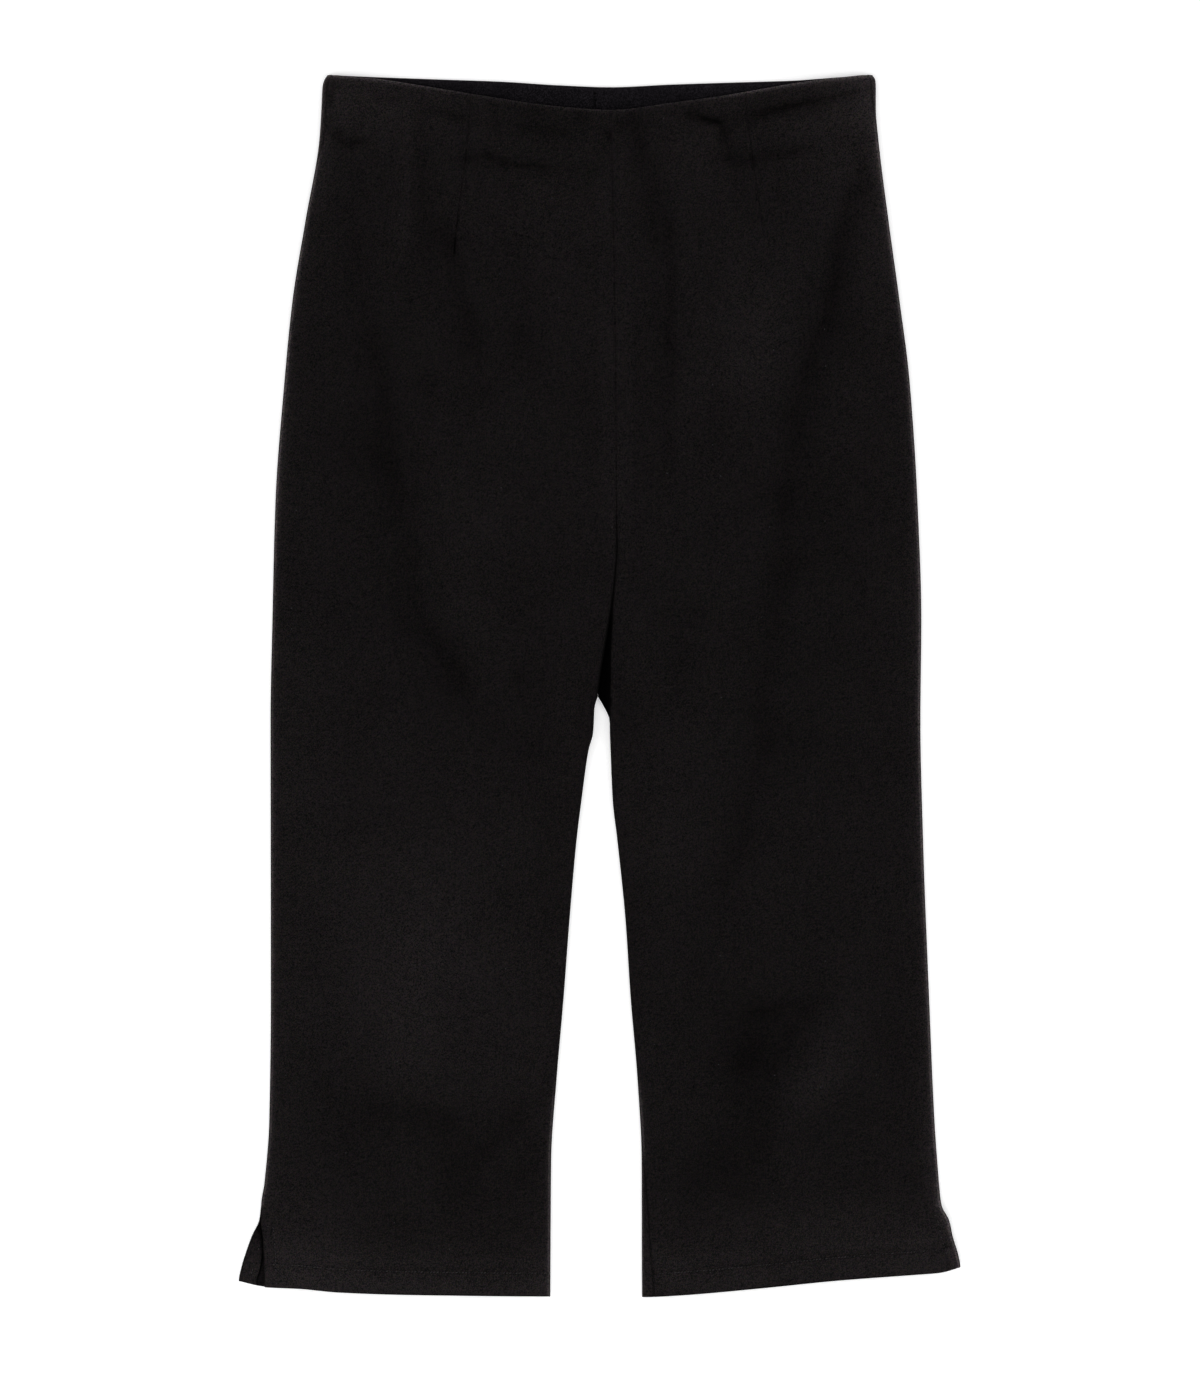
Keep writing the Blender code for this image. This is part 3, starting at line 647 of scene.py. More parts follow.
def rounded(path):
    """The path with its corners cut twice, so that a crease bends softly."""
    path = np.array(path, float)
    for _ in range(2):
        near_start = 0.75 * path[:-1] + 0.25 * path[1:]
        near_end = 0.25 * path[:-1] + 0.75 * path[1:]
        inside = np.stack([near_start, near_end], 1).reshape(-1, 2)
        path = np.concatenate([path[:1], inside, path[-1:]])
    return path


def uneven(x, y, size, turn):
    """A smooth number between about -1 and 1, with bumps of about the given size."""
    a = np.sin((1.9 * x + 0.7 * y) / size + turn)
    b = np.sin((1.7 * y - 0.9 * x) / size + 2.1 * turn)
    c = np.sin((0.8 * x + 0.9 * y) / size + 3.7 * turn)
    return 0.7 * a * b + 0.5 * c * b


def creased(creases, x, y):
    """Depth and tone of all the creases together; the tone is painted shade in a trough and a
    painted highlight on a ridge. Each wanders a little off its path, has a soft halo of its
    painted tone on one side, mostly the one away from the centre, and sinks to half at its two
    ends, so that two creases that meet make one."""
    depth = np.zeros(x.shape)
    tone = np.zeros(x.shape)
    for number, crease in enumerate(creases):
        path = rounded(crease.path)
        width = crease.half_width
        outer = crease.soft_side * np.sign(path[:, 0].mean())
        low = path.min(axis=0) - CREASE_REACH * width
        high = path.max(axis=0) + CREASE_REACH * width
        near = (x > low[0]) & (x < high[0]) & (y > low[1]) & (y < high[1])
        if not near.any():
            continue
        size = WANDER_SIZE * width
        near_x = x[near] + WANDER * width * uneven(x[near], y[near], size, number)
        near_y = y[near] + WANDER * width * uneven(y[near], x[near], size, number + 5)
        distance, share = along_path(path, near_x, near_y)
        to_halo = along_path(path, near_x - outer * HALO_SHIFT * width, near_y)[0]
        ends = smooth(share / END_LENGTH + END_SHARE) * smooth((1 - share) / END_LENGTH + END_SHARE)
        varied = uneven(near_y, near_x, UNEVEN_SIZE * width, number + 9)
        strength = ends * (1 + UNEVEN_STRENGTH * varied)
        core = strength * bell(distance, width)
        halo = strength * bell(to_halo, HALO_WIDTH * width)
        depth[near] += crease.depth * core
        tone[near] += crease.tone * ((1 - HALO_SHARE) * core + HALO_SHARE * halo)
    return depth, tone


probe = creased(RIGHT_CREASES, np.array([-124.0]), np.array([100.0]))
print(f"thigh fold at the hip: {probe[0][0]:.1f} mm deep, tone {probe[1][0]:+.2f}")

# %% [markdown]
# ## Height of the front
#
# The front lies loosely on the back. Away from its edges it is lofted by about 2 mm, and it
# is pressed flatter at the waist, the hems and the slits. On top of that come the details
# of sewing: seam allowances show through as low ridges, a dart's stitching pulls a groove,
# the front facing's edge prints a step, and the hem's stitching makes a shallow channel.

# %% Loft, seams, dart and hem of the front
PressRow = namedtuple("PressRow", "start reach share")
PRESSED_WAIST = PressRow(335.0, 50.0, 0.45)
PRESSED_HEM = PressRow(-350.0, 40.0, 0.35)
PRESSED_SLIT = PressRow(20.0, 40.0, 0.7)
CLEAR_OF_EDGES = 12.0
FACING_RIDGE = 0.5
FACING_STEP = 4.0
FOLD_AT_FACING = 0.8
FACING_BLEND = 6.0
ALLOWANCE = 9.0
ALLOWANCE_RIDGE = 0.35
ALLOWANCE_STEP = 2.5
INNER_ALLOWANCE_RISE = 1.5
SIDE_ALLOWANCE_RISE = 4.0
SIDE_ALLOWANCE_SHARE = 0.6
DART_GROOVE = 0.3
DART_HALF_WIDTH = 0.9
DART_RIDGE = 0.3
DART_RIDGE_RISE = 0.8
DART_RIDGE_END = 2.0
DART_ALLOWANCE = 8.0
ALLOWANCE_AT_POINT = 0.2
DART_FADE = 20.0
PAST_POINT = 0.3
UNDULATION = 0.14
STITCH_CHANNEL = 0.35
STITCH_CHANNEL_WIDTH = 1.5
HEM_SINK = 0.9
HEM_SINK_LENGTH = 9.0
LOWEST_FRONT = 2.9
LOWEST_AT_FACING = 3.65
FACING_LOWER = 8.0


def pressed(row, distance):
    return row.share * smooth(distance / row.reach)


def dart_share(dart, height):
    """How far in from the side edge a dart's stitching lies, as a share of the width."""
    t = smooth((height - dart.point_height) / (WAIST_TOP - dart.point_height))
    return dart.share_at_point + (dart.share_at_waist - dart.share_at_point) * t


def on_dart(dart, height):
    """1 along a dart, fading to 0 just past its point."""
    return smooth((height - dart.point_height) / DART_FADE + PAST_POINT)


def dart_relief(dart, from_side, width, height):
    """Groove of the stitching, less the ridge of the cloth folded towards the centre."""
    past = from_side - width * dart_share(dart, height)
    groove = DART_GROOVE * np.maximum(1 - np.abs(past) / DART_HALF_WIDTH, 0.0)
    taper = np.clip((height - dart.point_height) / (WAIST_TOP - dart.point_height), 0, 1)
    past_ridge = past - ALLOWANCE_AT_POINT - DART_ALLOWANCE * taper
    ridge = DART_RIDGE * smooth(past / DART_RIDGE_RISE) * (1 - smooth(past_ridge / DART_RIDGE_END))
    return on_dart(dart, height) * (groove - ridge * smooth(taper * 4))


def undulation(x, y):
    """The faint unevenness of cloth that lies loose."""
    waves = np.sin(x / 11.0 + y / 37.0) * np.sin(y / 23.0 - x / 61.0 + 1.3)
    waves = waves + 0.7 * np.sin(x / 29.0 - y / 13.0 + 0.6) * np.sin(y / 47.0 + x / 19.0)
    return UNDULATION * waves


def at_least(height, floor_height, blend=0.5):
    """The height, softly kept from going below a floor."""
    over = (height - floor_height) / blend
    return floor_height + blend * np.where(over > 20, over, np.log1p(np.exp(np.minimum(over, 20))))


def stitch_channel(above):
    return STITCH_CHANNEL * bell(above - HEM_DEPTH, STITCH_CHANNEL_WIDTH)


def over_allowance(distance):
    """1 over the seam allowance beside an edge, and 0 past it."""
    return 1 - smooth((distance - ALLOWANCE) / ALLOWANCE_STEP)


def top_height(leg, x, y, from_side, from_inner):
    """Height and tone of the front's outer face, away from the rolled edges."""
    creases = RIGHT_CREASES if leg == "right" else LEFT_CREASES
    depth, tone = creased(creases, x, y)
    loft = LOFT * (1 - pressed(PRESSED_WAIST, y - PRESSED_WAIST.start)
                   - pressed(PRESSED_HEM, PRESSED_HEM.start - y))
    fold_top = curve(INNER_FOLD, "fold_top", y)
    body = EDGE_TOP + loft * smooth(from_side / LOFT_REACH)
    inner = (fold_top - EDGE_TOP - loft) * smooth(1 - from_inner / LOFT_REACH)
    slit = pressed(PRESSED_SLIT, SLIT_TOP[leg] - y) * smooth(1 - from_side / PRESSED_SLIT.start)
    above_facing = FACING_DEPTH - below_waist("front", x, y)
    facing = FACING_RIDGE * smooth(above_facing / FACING_STEP)
    clear = smooth(from_side / CLEAR_OF_EDGES) * smooth(from_inner / CLEAR_OF_EDGES)
    free = clear * (1 - (1 - FOLD_AT_FACING) * smooth(above_facing / FACING_BLEND))
    side_seam = over_allowance(from_side) * smooth(from_side / SIDE_ALLOWANCE_RISE)
    inner_seam = over_allowance(from_inner) * smooth(from_inner / INNER_ALLOWANCE_RISE)
    seams = inner_seam + SIDE_ALLOWANCE_SHARE * side_seam
    above = above_hem("front", x, y)
    sink = HEM_SINK * smooth(1 - above / HEM_SINK_LENGTH)
    height = body + inner - slit + clear * facing - free * (depth + undulation(x, y))
    height = height + ALLOWANCE_RIDGE * seams - stitch_channel(above) - sink
    height = height - dart_relief(DARTS[leg], from_side, from_side + from_inner, y)
    lowest = np.where(above_facing > -FACING_LOWER, LOWEST_AT_FACING, LOWEST_FRONT)
    kept_up = at_least(height, lowest)
    near_edge = smooth(np.minimum(from_side, from_inner) / CLEAR_OF_EDGES)
    return height + (kept_up - height) * near_edge, tone


probe = top_height("left", np.array([120.0]), np.array([-230.0]), np.array([90.0]), np.array([100.0]))
print(f"front over the left calf: {probe[0][0]:.1f} mm above the surface")

# %% [markdown]
# ## Sections of a front
#
# A front is cut as a grid: rows run across the leg, and they bend near the two ends so that
# they follow the hem and the waist. Columns run along the leg, close together where the
# cloth rolls over an edge and at the dart, and about 2 mm apart in between. That is fine
# enough for the narrowest pucker, and it keeps a panel under 200,000 triangles.

# %% Rows and columns of a front
ROLL_STEPS = np.array([0.0, 0.38, 0.76, 1.14, 1.52, 1.95, 2.4, 2.85, ROLL_LENGTH + 0.2])
SHELF_SHARES = np.array([0.0, 0.34, 0.67, 1.0, 1.0, 1.0, 1.0, 1.0, 1.0])
SHELF_FULL = 2.0
SHELF_STEP = 0.1
DART_STEPS = np.array([-2.4, -0.9, -0.45, 0.0, 0.45, 0.9, 2.4])
TO_DART = np.linspace(0.0, 1.0, 46)[1:-1]
ROLLS = len(ROLL_STEPS)
FRONT_BANDS = table(
    "low high step",
    (-391, -374, 1.2),
    (-374, -325, 2),
    (-325, -50, 2.4),
    (-50, 60, 1.8),
    (60, 340, 2.3),
    (340, 386, 1.6),
    (386, 391, 0.7),
)


def band_rows(bands):
    """Heights of all sections, from the hem to the waist."""
    counts = [round((band.high - band.low) / band.step) for band in bands]
    parts = [np.linspace(band.low, band.high, n, endpoint=False) for band, n in zip(bands, counts)]
    return np.concatenate(parts + [[bands[-1].high]])


def bent_rows(rows, x, panel):
    """Heights of the grid's points: level sections in the middle, and bent near the two
    ends so that the first and last rows follow the hem and the waist."""
    waist = curve(WAIST_EDGES, panel, x) - WAIST_TOP
    hem = curve(HEM_EDGES, panel, x) - HEM_LOW
    near_waist = smooth((rows - WAIST_TOP) / END_BEND + 1)
    return rows + waist * near_waist + hem * smooth((HEM_LOW - rows) / END_BEND + 1)


def front_side_roll(leg, height):
    along = side_shift(leg, height) + SEAM_GAP / 2 + ROLL_STEPS
    return rolled(side_drop(leg, height), along)


def front_inner_roll(leg, height):
    """The roll between the legs. The left front also has a shelf there: a strip that lies
    low before the cloth turns up."""
    shelf = curve(CENTRE_SEAMS, "shelf", height) * (leg == "left")
    on_shelf = smooth(shelf / SHELF_FULL) * (SHELF_SHARES < 1.0)
    steps = ROLL_STEPS * (1 - on_shelf) + SHELF_STEP * np.arange(ROLLS) * on_shelf
    along = inseam_shift(leg, height) + seam_gap_along(height) + steps
    across, down = rolled(fold_drop(leg, height), along)
    return across + shelf * SHELF_SHARES, down


def between_rolls(first, dart, last, to_dart, from_dart, inwards=1.0):
    """Columns from one roll to the dart, over the dart, and on to the other roll."""
    steps = inwards * DART_STEPS
    n = len(to_dart)
    m = len(from_dart)
    before = (dart + steps[0] - first)[:, :n] * to_dart
    past = (last - dart - steps[-1])[:, -m:] * from_dart[::-1]
    return [first[:, :n] + before, dart[:, n:-m] + steps, last[:, -m:] - past]


def front_sections(leg, height):
    """Distance in from the side edge, drop and width, for a grid of heights."""
    width = np.abs(side_edge(leg, "front", height) - inner_edge(leg, "front", height))
    side_across, side_down = front_side_roll(leg, height[:, :ROLLS])
    inner_across, inner_down = front_inner_roll(leg, height[:, :-ROLLS - 1:-1])
    middle = height[:, ROLLS:-ROLLS]
    wide = width[:, ROLLS:-ROLLS]
    first = front_side_roll(leg, middle[..., None])[0][..., -1]
    last = wide - front_inner_roll(leg, middle[..., None])[0][..., -1]
    dart = wide * dart_share(DARTS[leg], middle)
    between = between_rolls(first, dart, last, TO_DART, TO_DART)
    inner = (width[:, :-ROLLS - 1:-1] - inner_across)[:, ::-1]
    from_side = np.concatenate([side_across, *between, inner], axis=1)
    drop = np.concatenate([side_down, 0 * middle, inner_down[:, ::-1]], axis=1)
    return from_side, drop, width


front_rows = band_rows(FRONT_BANDS)
front_columns = 2 * ROLLS + 2 * len(TO_DART) + len(DART_STEPS)
print(f"{len(front_rows)} rows and {front_columns} columns on a front")

# %% [markdown]
# ## Tone of the cloth
#
# Black cloth isn't one black. Here its tone is mostly painted light and shade: lighter at the
# hems, the edges and the ridges, where light falls, and deep black down in a fold, where shade
# falls. Darker seam lines and stitch marks are added as well. Each panel carries this as a
# number at every point, which its material multiplies with its colour.

# %% Tone over a front and a back
ToneMark = namedtuple("ToneMark", "amount width")
# Painted highlights along the rolled edges, strongest on the rim where the cloth turns over.
EDGE_HIGHLIGHT = ToneMark(1.2, 3.6)
INNER_EDGE_HIGHLIGHT = ToneMark(0.45, 3.0)
RIM_HIGHLIGHT = ToneMark(5.5, 0.8)
RIM_HIGHLIGHT_AT = 1.1
INNER_RIM_SHARE = 0.7
HIP = 110.0
LESS_BELOW_HIP = {"right": 0.45, "left": 0.0}
INNER_HIGHLIGHT_FROM = -240.0
INNER_HIGHLIGHT_GROWS = 40.0
# Painted light that fades up from each hem.
HEM_LIGHT = {"right": ToneMark(0.76, 46.0), "left": ToneMark(0.5, 62.0)}
# Painted highlight along the waist edge, strongest towards the sides.
WAIST_HIGHLIGHT_WIDTH = 0.95
WAIST_HIGHLIGHT = table(
    "across amount",
    (-168, 9.5),
    (-120, 9.5),
    (-85, 3.2),
    (-40, 1.8),
    (7, 1.7),
    (60, 2.4),
    (76, 4.2),
    (92, 11),
    (130, 12),
    (168, 14),
)
SHADED_HEM_WIDTH = 0.7
SHADED_HEM = table(
    "across amount",
    (-205, 0),
    (-178, -0.3),
    (-150, -0.7),
    (-110, -0.9),
    (-75, -0.9),
    (-45, -0.4),
    (60, -0.3),
    (95, -0.7),
    (130, -0.9),
    (165, -0.7),
    (190, 0),
)
# Painted shade in the channel of the hem's stitching and just above it, and a painted highlight on
# the swell above that.
HEM_STITCH_SHADING = {0.0: ToneMark(-0.35, 0.9), 2.4: ToneMark(-0.14, 1.8), 7.0: ToneMark(0.1, 3.0)}
SLIT_LINE = ToneMark(-0.24, 0.9)
SLIT_STITCHED = 7.5
SLIT_BLEND = 2.0
FLAP_BLEND = 3.0
# Painted highlight on the ridge over the centre seam's allowance, with a painted sheen over part of
# its length.
CENTRE_STRIP = 0.07
CENTRE_GLOSS = 0.12
STRIP_FROM = 60.0
GLOSS_FROM = 90.0
GLOSS_TO = 280.0
TONE_BLEND = 60.0
DART_LINE = ToneMark(-0.22, 0.6)
SEAM_LINE = ToneMark(-0.45, 0.7)
CENTRE_LINE = ToneMark(0.1, 0.6)
Pinch = namedtuple("Pinch", "height length amount")
# Painted shade of puckers at the end of the right dart.
DART_PINCHES = {"right": (Pinch(296.0, 4.5, -0.6), Pinch(281.5, 5.0, -0.85)), "left": ()}
PINCH_WIDTH = 0.5
DART_PITS = (356.0, 338.0)
CENTRE_PITS = (352.0, 338.0)
PIT = ToneMark(-0.26, 1.2)
DARKEST_IN_FOLD = 0.02
LIGHTEST = 14.0
# Painted shade deep in the fold between the legs, where the front's cloth drops by more than a
# millimetre.
FOLD_DARKENS = ToneMark(1.0, 1.6)
FOLD_DARK_FROM = 75.0
FOLD_DARK_GROWS = 30.0
FOLD_DARK_PAST_CROTCH = 30.0
# Broad patches of painted light and shade, with some uneven tone of the cloth.
PATCHES_OF_LIGHT_AND_SHADE = table(
    "x y across along amount",
    # all along the waist
    (10, 372, 230, 50, 0.07),
    # right leg and crotch
    (-178, 310, 12, 46, 0.12),
    (-178, 358, 4, 30, 0.5),
    (-100, 350, 10, 40, 0.12),
    (-75, -14, 26, 20, -0.07),
    (-112, -66, 14, 20, -0.07),
    (-114, -279, 20, 12, -0.13),
    (-30, -50, 16, 30, 0.09),
    (-163, 372, 34, 24, 0.36),
    (-130, 394, 62, 15, 0.24),
    (-192, -50, 30, 72, 0.12),
    (-125, -205, 14, 66, 0.13),
    (-66, -250, 26, 18, 0.16),
    (2, -12, 15, 40, -0.16),
    (-24, 300, 44, 40, 0.17),
    (-114, -178, 82, 86, 0.3),
    (-202, -356, 40, 42, 0.42),
    (-152, 140, 36, 46, -0.09),
    # left leg
    (180, 374, 34, 40, 0.6),
    (176, 391, 30, 9, 0.7),
    (100, 390, 50, 12, 0.12),
    (62, 352, 30, 26, 0.16),
    (135, 362, 40, 18, 0.14),
    (181, 352, 6, 36, 1.1),
    (150, 334, 34, 26, 0.26),
    (64, 190, 14, 20, 0.1),
    (74, 162, 16, 28, -0.15),
    (168, 270, 14, 50, 0.1),
    (114, -302, 24, 16, 0.1),
    (214, -298, 7, 32, 0.5),
    (74, 280, 56, 52, 0.1),
    (98, 214, 26, 48, 0.15),
    (178, 246, 14, 40, 0.16),
    (84, -214, 16, 16, -0.12),
    (126, -264, 20, 22, 0.16),
    (182, -226, 15, 22, -0.2),
    (150, -246, 22, 18, 0.14),
    (150, -344, 64, 18, 0.18),
    (66, -376, 46, 14, 0.14),
)


def line(tone_mark, distance):
    return tone_mark.amount * bell(distance, tone_mark.width)


def decaying(tone_mark, distance):
    return tone_mark.amount * np.exp(-distance / tone_mark.width)


def fading(tone_mark, distance):
    return tone_mark.amount * smooth(1 - distance / tone_mark.width)


def lit_edge(tone_mark, distance, rim_share=1.0):
    """Painted highlight at an edge: strong where it turns over, and gone after about ten millimetres.
    """
    return decaying(tone_mark, distance) + rim_share * line(RIM_HIGHLIGHT, distance - RIM_HIGHLIGHT_AT)


def along_roll(distance):
    """Length of cloth round a rolled edge, up to a distance in from it."""
    turned = np.minimum(distance / ROLL_RADIUS, 1.0)
    return ROLL_RADIUS * np.arccos(1 - turned) + np.maximum(distance - ROLL_RADIUS, 0.0)


# Painted highlight along the waist edge, fading below it.
def lit_waist_edge(x, below):
    return decaying(ToneMark(curve(WAIST_HIGHLIGHT, "amount", x), WAIST_HIGHLIGHT_WIDTH), below)


def hem_tone(leg, x, above):
    """Painted light that fades up from a hem, painted shade at its rim, and painted shade and a
    painted highlight beside its stitching.
    """
    shade = decaying(ToneMark(curve(SHADED_HEM, "amount", x), SHADED_HEM_WIDTH), above)
    stitch_shading = sum(line(mark, above - HEM_DEPTH - place) for place, mark in HEM_STITCH_SHADING.items())
    return fading(HEM_LIGHT[leg], above) + shade + stitch_shading


def patched_light_and_shade(x, y):
    """Broad areas that are a little lighter or darker than the rest: mostly painted light and shade,
    with some uneven tone of the cloth.
    """
    return sum(patch.amount * bell(x - patch.x, patch.across) * bell(y - patch.y, patch.along)
               for patch in PATCHES_OF_LIGHT_AND_SHADE)


def pits(heights, y, across):
    """Small dark spots where stitches pull at a seam."""
    return sum(line(PIT, np.hypot(y - height, across)) for height in heights)


def pinched(leg, y, past_dart):
    """Painted shade of short puckers on a dart, where its end is pulled tight."""
    along = sum(pinch.amount * bell(y - pinch.height, pinch.length) for pinch in DART_PINCHES[leg])
    return along * bell(past_dart, PINCH_WIDTH)


def along_cloth(x, z):
    """Distance along each section of a panel, from the seam at its first column."""
    steps = np.hypot(np.diff(x, axis=1), np.diff(z, axis=1))
    return np.concatenate([np.zeros((len(x), 1)), np.cumsum(steps, axis=1)], axis=1)


def seam_tone(x, y, z, centre_line):
    """A panel's first column is at its side seam, its last one at the centre seam or, below
    the crotch, at the inseam."""
    along = along_cloth(x, z)
    to_last = along[:, -1:] - along
    last = np.where(y > CROTCH, line(centre_line, to_last), line(SEAM_LINE, to_last))
    return line(SEAM_LINE, along) + last


def edges_tone(leg, y, from_side, from_inner):
    """Painted highlight along the side and, towards the hem, along the inner edge of the leg."""
    low = smooth((INNER_HIGHLIGHT_FROM - y) / INNER_HIGHLIGHT_GROWS)
    side = 1 - LESS_BELOW_HIP[leg] * smooth((HIP - y) / TONE_BLEND)
    inner_edge_tone = lit_edge(INNER_EDGE_HIGHLIGHT, from_inner, INNER_RIM_SHARE)
    return side * lit_edge(EDGE_HIGHLIGHT, from_side) + low * inner_edge_tone


def front_tone(leg, x, y, from_side, width, drop, crease_tone):
    from_inner = width - from_side
    past_dart = from_side - width * dart_share(DARTS[leg], y)
    flap = curve(SIDE_EDGES, f"{leg}_back", y) - curve(SIDE_EDGES, f"{leg}_front", y)
    at_slit = smooth((SLIT_TOP[leg] - y) / SLIT_BLEND)
    # Painted shade and highlights of the creases, patches of painted light and shade, and painted
    # light and shade at the hem.
    tone = 1 + crease_tone + patched_light_and_shade(x, y) + hem_tone(leg, x, above_hem("front", x, y))
    # Painted highlights along the side and inner edges, left out where the slit's flap shows.
    tone = tone + edges_tone(leg, y, from_side + FAR * smooth(flap / FLAP_BLEND), from_inner)
    # Painted highlight along the waist edge.
    tone = tone + lit_waist_edge(x, below_waist("front", x, y))
    tone = tone + at_slit * line(SLIT_LINE, from_side - SLIT_STITCHED)
    # Painted highlight and sheen on the ridge over the centre seam's allowance.
    glossy = smooth((y - GLOSS_FROM) / TONE_BLEND) * smooth((GLOSS_TO - y) / TONE_BLEND)
    strip = (CENTRE_STRIP + CENTRE_GLOSS * glossy) * over_allowance(from_inner)
    tone = tone + strip * smooth((y - STRIP_FROM) / TONE_BLEND)
    tone = tone + on_dart(DARTS[leg], y) * line(DART_LINE, past_dart) + pinched(leg, y, past_dart)
    tone = tone + pits(DART_PITS, y, past_dart) + pits(CENTRE_PITS, y, from_inner)
    # Painted shade deep in the fold between the legs.
    in_fold = smooth((drop - FOLD_DARKENS.amount) / FOLD_DARKENS.width) * (from_inner < from_side)
    below_crotch = smooth((CROTCH - FOLD_DARK_PAST_CROTCH - y) / TONE_BLEND)
    deep = in_fold * (1 - below_crotch) * smooth((FOLD_DARK_FROM - y) / FOLD_DARK_GROWS)
    return np.clip(tone, DARKEST_IN_FOLD, LIGHTEST) * (1 - deep) + DARKEST_IN_FOLD * deep


print("darkest tone in the fold between the legs:", DARKEST_IN_FOLD)

# %% Grid of a front
Cloth = namedtuple("Cloth", "points tone wall")
HEM_WALL_STEP = 3.0
HEM_WALL_RIM = 6.0


def turned_up(above):
    """1 where the cloth is turned up for the hem, and 0 above it."""
    return 1 - smooth((above - HEM_DEPTH) / HEM_WALL_STEP)


def wall_of(points, hem):
    """The wall is thicker where the hem is turned up, but not round the rolled edges."""
    x = points[..., 0]
    y = points[..., 1]
    from_rims = np.minimum(np.abs(x - x[:, :1]), np.abs(x - x[:, -1:]))
    thick = hem * turned_up(y - y[0])
    return CLOTH + (HEM_WALL - CLOTH) * thick * smooth((from_rims - ROLL_RADIUS) / HEM_WALL_RIM)


def towards_right(leg, grid):
    """Rows run from -X to +X on both legs."""
    return grid if leg == "right" else grid[:, ::-1]


def front_cloth(leg):
    level = np.repeat(front_rows[:, None], front_columns, axis=1)
    from_side, drop, width = front_sections(leg, level)
    x = side_edge(leg, "front", level) - outward(leg) * from_side
    y = bent_rows(level, x, "front")
    from_side, drop, width = front_sections(leg, y)
    x = side_edge(leg, "front", y) - outward(leg) * from_side
    top, crease_tone = top_height(leg, x, y, from_side, width - from_side)
    points = towards_right(leg, np.stack([x, y, top - drop], 2))
    tone = front_tone(leg, x, y, from_side, width, drop, crease_tone)
    tone = tone * (1 + seam_tone(x, y, top - drop, CENTRE_LINE))
    return Cloth(points, towards_right(leg, tone), wall_of(points, 1.0))


fronts = {leg: front_cloth(leg) for leg in LEGS}
for leg, cloth in fronts.items():
    heights = cloth.points[..., 2]
    print(f"{leg} front: heights from {heights.min():.1f} to {heights.max():.1f} mm")

# %% [markdown]
# ## Sections of a back
#
# A back lies flat on the surface. At each edge its cloth starts at the seam, comes round the
# rolled edge, and runs on underneath. Its underside shows when the garment is turned over,
# so it gets the hidden side's darts, creases and hem as well, all pressed upwards by less
# than a millimetre, because nothing can go below the surface that it lies on.

# %% Grid of a back
WRAP_SHARES = np.linspace(0.0, 1.0, 10)
WRAPS = len(WRAP_SHARES)
PAST_ROLL = 0.2
FLAP_SHARE = 0.16
FLAP_COLUMNS = np.linspace(0.0, FLAP_SHARE, 32)[1:]
BACK_SIDE_TO_DART = np.concatenate([FLAP_COLUMNS, np.linspace(FLAP_SHARE, 1.0, 20)[1:-1]])
BACK_INNER_TO_DART = np.linspace(0.0, 1.0, 22)[1:-1]
# Painted shade inside the right back's flap, beside the front's edge at the slit.
FLAP_LENGTH = 38.0
GAP_START = 0.6
GAP_SPREAD = 4.3
GAP_HALF_WIDTH = 0.9
GAP_NARROWS = 0.5
PLY_SHADE = 0.6
PLY_BLEND = 0.6
SHADE_AT_TOP = ToneMark(1.0, 3.0)
SHADE_FROM = 0.2
SHADE_FADES = 0.3
DARKEST_SHADE = 0.97
UNDER_FRONT = 5.0
# The back's waist edge lies in shade, so its painted highlight is half as strong again.
BACK_WAIST_HIGHLIGHT = 1.5
BACK_DART = DartRow(0.5, 0.48, 268.0)
BACK_DART_GROOVE = 0.4
MOST_RELIEF = 0.6
BACK_UNEVEN = 0.5
BACK_LIFT = 0.24
CLEAR_OF_FACING = 10.0
CLEAR_BLEND = 14.0
CHANNEL_FADE = 4.0
BACK_BANDS = table(
    "low high step",
    (-391, -370, 1.5),
    (-370, -320, 3),
    (-320, -50, 5),
    (-50, 40, 3),
    (40, 320, 5),
    (320, 388, 2.6),
    (388, 391, 0.75),
)
back_rows = band_rows(BACK_BANDS)
back_columns = 2 * WRAPS + len(BACK_SIDE_TO_DART) + len(BACK_INNER_TO_DART) + len(DART_STEPS)


def back_edge(leg, edge_name, y):
    """Where an edge lies, which way is inwards, how far in the seam starts up on the front
    side, and how far the cloth drops from the front's height and rises from the surface."""
    if edge_name == "side":
        turned = side_drop(leg, y)
        start = side_shift(leg, y) - SEAM_GAP / 2
        return side_edge(leg, "back", y), -outward(leg), start, turned, turned
    start = inseam_shift(leg, y) - seam_gap_along(y)
    rise = curve(INNER_FOLD, f"{leg}_back", y)
    return inner_edge(leg, "back", y), outward(leg), start, fold_drop(leg, y), rise


def underside_start(leg, edge_name, y):
    """Where the flat underside starts, past the roll."""
    edge, inwards, _, _, rise = back_edge(leg, edge_name, y)
    return edge + inwards * rolled(rise, ROLL_LENGTH + PAST_ROLL)[0]


def back_wrap(leg, edge_name, y):
    """Points of the columns that go round one edge, from the seam to the underside."""
    edge, inwards, start, drop, rise = back_edge(leg, edge_name, y)
    along = start - WRAP_SHARES * (start + ROLL_LENGTH + PAST_ROLL)
    across_top, down = rolled(drop, np.maximum(along, 0.0))
    across_low, up = rolled(rise, np.maximum(-along, 0.0))
    across = np.where(along > 0, across_top, across_low)
    x = edge + inwards * across
    far = FAR + 0 * x
    distances = (across, far) if edge_name == "side" else (far, across)
    top, crease_tone = top_height(leg, x, y, *distances)
    # The strips on the front side carry the same painted crease shading and patches as the front.
    tone = np.where(along > 0, crease_tone + patched_light_and_shade(x, y), 0.0)
    return x, np.where(along > 0, top - down, up), tone


